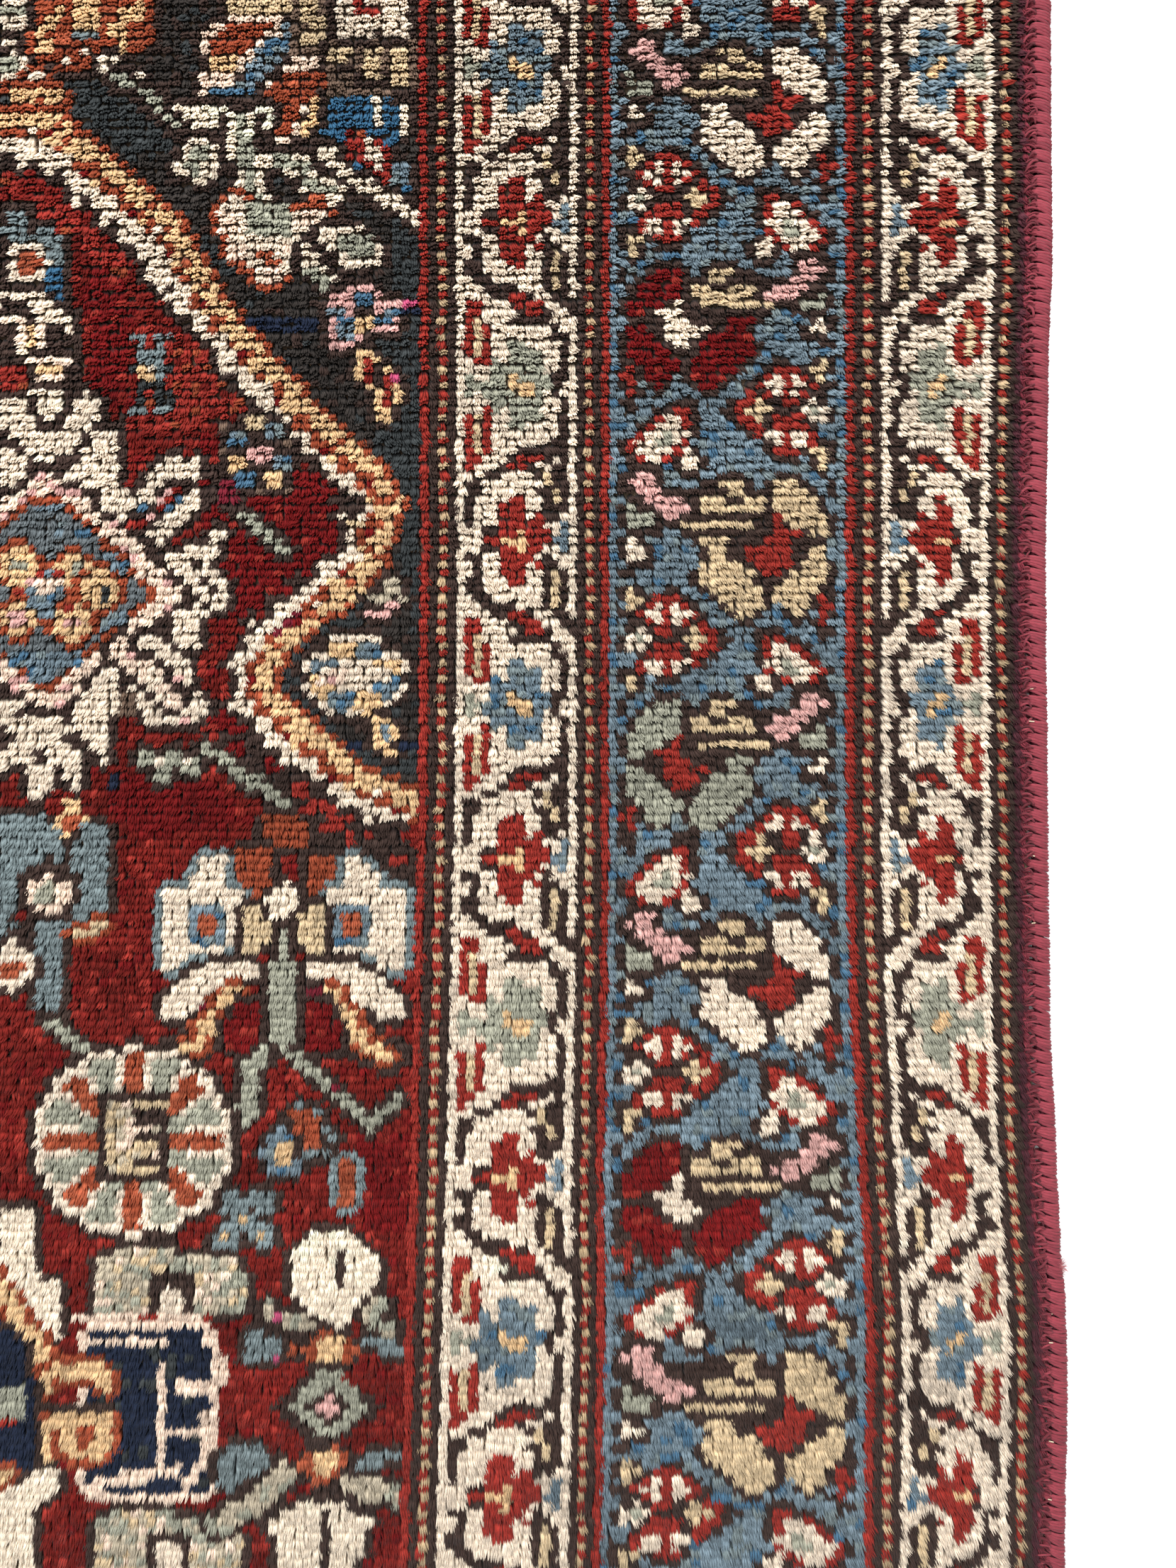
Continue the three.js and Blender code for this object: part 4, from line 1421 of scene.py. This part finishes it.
def overcastMaterial():
    # Wool yarn of two plies, wound tight: a soft sheen, the twist showing as fine slanting grooves.
    look = {
        "roughness": 0.82, "sheen": 0.08, "sheenRoughness": 0.4, "hair": (2.2 * mm, 0.2 * mm, 0.8 * mm),
        "tone": (0.62, 1.25), "relief": 0.3 * mm, "reliefStrength": 0.9,
    }
    material, tree, shader = newMaterial("overcast wool yarn", look["roughness"], look["sheen"],
                                         look["sheenRoughness"])
    yarn = node(tree, "ShaderNodeAttribute", {"attribute_name": "yarn"}).outputs["Color"]
    place = node(tree, "ShaderNodeTexCoord").outputs["Object"]
    hair = node(tree, "ShaderNodeMapping", {"vector_type": "TEXTURE"}, Vector=place,
                Rotation=(0, 0, -overcast["slope"]), Scale=look["hair"]).outputs["Vector"]
    fibres = node(tree, "ShaderNodeTexNoise", Vector=hair, Scale=1.0, Detail=3.0,
                  Roughness=0.65).outputs["Fac"]
    tone = node(tree, "ShaderNodeMapRange", Value=fibres, From_Min=0.3, From_Max=0.7,
                To_Min=look["tone"][0], To_Max=look["tone"][1])
    shaded = node(tree, "ShaderNodeVectorMath", {"operation": "SCALE"}, Vector=yarn,
                  Scale=tone.outputs["Result"])
    bump = node(tree, "ShaderNodeBump", Strength=look["reliefStrength"], Distance=look["relief"],
                Height=fibres)
    tree.links.new(shaded.outputs["Vector"], shader.inputs["Base Color"])
    tree.links.new(bump.outputs["Normal"], shader.inputs["Normal"])
    return material


def inMargin(uvs):
    # keeps a bake map a little off the sides of its cell
    return np.array(uvs, np.float32) * 0.94 + 0.03


def windingMesh(name):
    # one turn of yarn round the edge, as a closed loop
    steps, sides, yarn = overcast["steps"], overcast["sides"], overcast["yarn"]
    halfWide, halfHigh = overcast["width"] / 2 - yarn, overcast["height"] / 2 - yarn
    power = 2 / overcast["squareness"]

    def at(step):
        turn = 2 * math.pi * step / steps
        x, z = (math.copysign(abs(wave) ** power, wave) for wave in (math.cos(turn), math.sin(turn)))
        return Vector((x * halfWide, -overcast["slope"] * x * halfWide, z * halfHigh))

    points, faces, uvs = [], [], []
    for step in range(steps):
        middle, ahead = at(step), (at(step + 1) - at(step - 1)).normalized()
        out = Vector((0, 1, 0)).cross(ahead).normalized()
        along = ahead.cross(out)
        for side in range(sides):
            turn = 2 * math.pi * side / sides
            point = middle + out * yarn * math.cos(turn)
            point += along * yarn * overcast["oval"] * math.sin(turn)
            points.append(point * mm)
    for step in range(steps):
        for side in range(sides):
            here, there, beyond = step * sides, (step + 1) % steps * sides, (side + 1) % sides
            faces.append((here + side, there + side, there + beyond, here + beyond))
            u, v = step / steps, side / sides
            uvs += [(u, v), (u + 1 / steps, v), (u + 1 / steps, v + 1 / sides), (u, v + 1 / sides)]
    return mappedMesh(name, points, faces, inMargin(uvs))


def tubeMesh(name, path, radius, sides, taper=0.75):
    # a closed tube along path, in millimetres, a little thinner at both ends
    points, faces, uvs = [], [], []
    last = len(path) - 1
    for step, middle in enumerate(path):
        ahead = (path[min(step + 1, last)] - path[max(step - 1, 0)]).normalized()
        across = ahead.cross(Vector((0.13, 0.21, 0.97))).normalized()
        up = across.cross(ahead)
        wide = radius * (taper if step in (0, last) else 1)
        for side in range(sides):
            turn = 2 * math.pi * side / sides
            points.append((middle + across * wide * math.cos(turn) + up * wide * math.sin(turn)) * mm)
    for step in range(last):
        for side in range(sides):
            here, there, beyond = step * sides, (step + 1) * sides, (side + 1) % sides
            faces.append((here + side, here + beyond, there + beyond, there + side))
            u, v = step / last, side / sides
            uvs += [(u, v), (u, v + 1 / sides), (u + 1 / last, v + 1 / sides), (u + 1 / last, v)]
    faces.append(tuple(range(sides - 1, -1, -1)))
    faces.append(tuple(range(last * sides, (last + 1) * sides)))
    uvs += [(0.02 + 0.02 * math.cos(side), 0.02 + 0.02 * math.sin(side)) for side in range(2 * sides)]
    return mappedMesh(name, points, faces, inMargin(uvs), flat=2)


def stitchMesh(name, dice):
    # sewing yarn from under the winding, at 0, to the left, where it goes down into the pile
    long = sewing["length"] * dice.uniform(*sewing["long"])
    arch = dice.uniform(*sewing["arch"])
    drift = dice.uniform(*sewing["drift"])
    path = []
    for step in range(sewing["steps"] + 1):
        t = step / sewing["steps"]
        path.append(Vector((
            sewing["under"] - (long + sewing["under"]) * t,
            arch * math.sin(math.pi * t) + drift * t * t,
            sewing["crown"] * math.sin(2.6 * t + 0.2) - sewing["dive"] * t ** 4,
        )))
    return tubeMesh(name, path, sewing["yarn"], sewing["sides"])


def windYarn(dice, pitch, bundle, turns):
    # adds the turns of one bundle; the side towards the pile is drawn in between the bundles
    red, deep = np.array(linear(overcast["red"])), np.array(linear(overcast["deep"]))
    swell = dice.normal(1, overcast["swell"])
    lean = dice.normal(0, overcast["lean"])
    tone = dice.uniform(0, 1)
    base, byBundle, byPlace, byTurn = overcast["shade"]
    for strand in range(overcast["turns"]):
        inside = (strand + 0.5) / overcast["turns"] * 2 - 1  # -1 to 1 across the bundle
        y = slabHigh.y - (bundle + 0.5 + inside * overcast["spread"]) * pitch
        tight = overcast["tight"] * abs(inside) ** 1.5
        out = overcast["gap"] + overcast["width"] / 2 + tight * overcast["drawnIn"]
        turns["places"].append((np.interp(y, wallY, wallX) + out * mm, y, overcast["height"] / 2 * mm))
        rise = dice.uniform(-overcast["rise"], overcast["rise"])
        turns["size"].append(((1 - tight) * swell, 0.98 + rise, min(1 - 0.5 * tight, 1)))
        roll, skew = dice.normal(0, overcast["roll"]), dice.normal(0, overcast["skew"])
        turns["turn"].append((roll, 0, lean - overcast["fan"] * inside + skew))
        # painted shade: each turn is mixed from the lit red towards its shaded copy
        mix = np.clip(base + byBundle * tone + byPlace * inside + dice.normal(0, byTurn), 0, 1)
        turns["yarn"].append((*(red * (1 - mix) + deep * mix), 1))


def sewDown(dice, pitch, bundle, sewn):
    # adds the stitches beside one bundle
    red, deep = np.array(linear(overcast["red"])), np.array(linear(overcast["deep"]))
    clear = sewing["endClear"] * mm
    for stitch in range(sewing["stitches"]):
        along = bundle + sewing["start"] + dice.normal(0, sewing["stray"]) - sewing["pitch"] * stitch
        y = min(max(slabHigh.y - along * pitch, slabLow.y + clear), slabHigh.y - clear)
        x = np.interp(y, wallY, wallX) + dice.normal(0, sewing["aside"]) * mm
        sewn["places"].append((x, y, dice.uniform(*sewing["height"]) * mm))
        # painted shade: each stitch takes a random share of the shaded copy of the red, and a random
        # brightness
        tone = dice.uniform(*sewing["shade"])
        sewn["yarn"].append((*(red * tone + deep * (1 - tone)) * dice.uniform(*sewing["light"]), 1))
        sewn["size"].append(tuple(dice.uniform(*span) for span in sewing["size"]))
        sewn["turn"].append((0, dice.normal(0, sewing["tilt"]), dice.normal(*sewing["slant"])))


def plantYarn(name, given, kinds, finish, seed):
    cells, cell = cellsFor(len(given["places"]))
    return plant(name, pointMesh(name + "Points", cell=cells, **given), kinds, finish, seed, cell)


def makeOvercast(finish):
    dice = np.random.default_rng(overcast["seed"])
    pitch = (slabHigh.y - slabLow.y) / overcast["bundles"]
    turns = {"places": [], "yarn": [], "size": [], "turn": []}
    sewn = {"places": [], "yarn": [], "size": [], "turn": []}
    for bundle in range(overcast["bundles"]):
        windYarn(dice, pitch, bundle, turns)
        sewDown(dice, pitch, bundle, sewn)
    yield plantYarn("overcast_yarn", turns, [windingMesh("winding")], finish, 5)
    yield plantYarn("sewing_yarn", sewn,
                    [stitchMesh(f"stitch{kind}", dice) for kind in range(sewing["kinds"])], finish, 6)


# Where one turn has broken, its frayed end sticks out of the edge. Millimetres.
stray = {
    "hairs": 260, "y": -185, "spread": 1.9, "out": 4.6, "aside": (-0.6, 0.8), "height": (2.2, 5.4),
    "colour": "#cf7f83", "light": (0.6, 1.15), "long": (0.45, 1.0), "middle": 185.5, "reach": 7,
    "shortest": 0.35, "roll": (-3.1, 3.1), "tilt": 0.35, "slant": (0.1, 0.5), "kinds": 5, "radius": 0.085,
    "sides": 3, "taper": 0.4, "bend": 0.9, "step": 1.1, "seed": 8,
}


def makeStrayYarn(finish):
    dice = np.random.default_rng(stray["seed"])
    pale = np.array(linear(stray["colour"]))
    hairs = {"places": [], "yarn": [], "size": [], "turn": []}
    for hair in range(stray["hairs"]):
        y = dice.normal(stray["y"], stray["spread"]) * mm
        x = np.interp(y, wallY, wallX) + (stray["out"] + dice.uniform(*stray["aside"])) * mm
        hairs["places"].append((x, y, dice.uniform(*stray["height"]) * mm))
        hairs["yarn"].append((*pale * dice.uniform(*stray["light"]), 1))
        fade = max(stray["shortest"], 1 - abs(y / mm + stray["middle"]) / stray["reach"])
        hairs["size"].append([dice.uniform(*stray["long"]) * fade] * 3)
        hairs["turn"].append((dice.uniform(*stray["roll"]), dice.normal(0, stray["tilt"]),
                              dice.normal(*stray["slant"])))
    kinds = []
    for kind in range(stray["kinds"]):
        bend = [dice.normal(0, stray["bend"]) for wave in range(4)]
        path = [Vector((stray["step"] * step, bend[0] * math.sin(0.9 * step) + bend[1] * step * 0.18,
                        bend[2] * math.sin(0.7 * step))) for step in range(6)]
        kinds.append(tubeMesh(f"fray{kind}", path, stray["radius"], stray["sides"], stray["taper"]))
    return plantYarn("stray_yarn", hairs, kinds, finish, 9)


# Where the winding has worn, a cotton weft shows beside it, at these heights on the edge. Millimetres.
specks = {
    "y": (36.3, 23.9, -27.4, -53.0, -202.0, -213.0, -250.7, -272.8), "out": 0.6, "height": 7.0,
    "radius": 0.2, "length": 0.7, "long": (1.0, 1.5), "tilt": 0.2, "slant": (-0.15, 0.15), "seed": 12,
}


def makeWeftSpecks(finish):
    dice = np.random.default_rng(specks["seed"])
    ends = {"places": [(np.interp(y * mm, wallY, wallX) + specks["out"] * mm, y * mm, specks["height"] * mm)
                       for y in specks["y"]]}
    ends["size"] = [(1, dice.uniform(*specks["long"]), 1) for y in specks["y"]]
    ends["turn"] = [(0, dice.normal(0, specks["tilt"]), math.pi / 2 + dice.normal(*specks["slant"]))
                    for y in specks["y"]]
    return plantYarn("weft_specks", ends, [threadEnd("speck", specks["radius"], specks["length"])], finish, 2)


def makeEdgeCords(finish):
    # the four cords under the winding; their cut ends show
    shaded, tree, shader = newMaterial("cord in the shade", 0.9)
    shader.inputs["Base Color"].default_value = (*linear(cords["shade"]), 1)
    sides, stations, radius = cords["sides"], cords["stations"], cords["radius"]
    middle, high = overcast["gap"] + overcast["width"] / 2, overcast["height"] / 2
    points, faces, ends = [], [], []
    for dx, dz in ((-1, -1), (-1, 1), (1, -1), (1, 1)):
        start = len(points)
        for station in range(stations):
            y = slabLow.y + (slabHigh.y - slabLow.y) * station / (stations - 1)
            x = np.interp(y, wallY, wallX) + (middle + dx * radius) * mm
            z = (high + dz * cords["apart"] * radius) * mm
            for side in range(sides):
                turn = 2 * math.pi * side / sides
                points.append((x + radius * math.cos(turn) * mm, y,
                               z + radius * cords["oval"] * math.sin(turn) * mm))
        for station in range(stations - 1):
            for side in range(sides):
                a, b = start + station * sides + side, start + station * sides + (side + 1) % sides
                faces.append((a, a + sides, b + sides, b))
        ends += [len(faces), len(faces) + 1]
        faces.append(tuple(start + side for side in range(sides)))
        faces.append(tuple(start + (stations - 1) * sides + side for side in range(sides - 1, -1, -1)))
    mesh = bpy.data.meshes.new("edge_cords")
    mesh.from_pydata(points, [], faces)
    mesh.materials.append(shaded)
    mesh.materials.append(finish)
    for end in ends:
        mesh.polygons[end].material_index = 1
    return addPiece("edge_cords", mesh)


dyedYarn = overcastMaterial()
edging = [*makeOvercast(dyedYarn), makeStrayYarn(dyedYarn), makeWeftSpecks(cotton), makeEdgeCords(cotton)]
for piece in edging:
    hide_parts("overcast_edge")

def makeFloor():
    mesh = bpy.data.meshes.new("floor")
    half = 3.0
    mesh.from_pydata([(-half, -half, 0), (half, -half, 0), (half, half, 0), (-half, half, 0)], [],
                     [(0, 1, 2, 3)])
    floor = bpy.data.objects.new("floor", mesh)
    bpy.context.collection.objects.link(floor)
    # Painted board, matt and white
    material, tree, shader = newMaterial("painted board", 0.9)
    shader.inputs["Base Color"].default_value = (*linear("#f7f7f7"), 1)
    mesh.materials.append(material)


studio = {"keyPower": 36.0, "keySize": 1.2, "keyPlace": (-0.45, 0.55, 1.25), "sky": 0.9}


def makeLights():
    light = bpy.data.lights.new("softbox", "AREA")
    light.shape = "SQUARE"
    light.size = studio["keySize"]
    light.energy = studio["keyPower"]
    lamp = bpy.data.objects.new("softbox", light)
    lamp.location = studio["keyPlace"]
    lamp.rotation_euler = (-Vector(studio["keyPlace"])).to_track_quat("-Z", "Y").to_euler()
    bpy.context.collection.objects.link(lamp)
    world = bpy.data.worlds.new("studio")
    world.use_nodes = True
    background = world.node_tree.nodes["Background"]
    background.inputs["Color"].default_value = (1, 1, 1, 1)
    background.inputs["Strength"].default_value = studio["sky"]
    bpy.context.scene.world = world
    bpy.context.scene.view_settings.view_transform = "Standard"


makeFloor()
makeLights()
print("floor and lights ready")
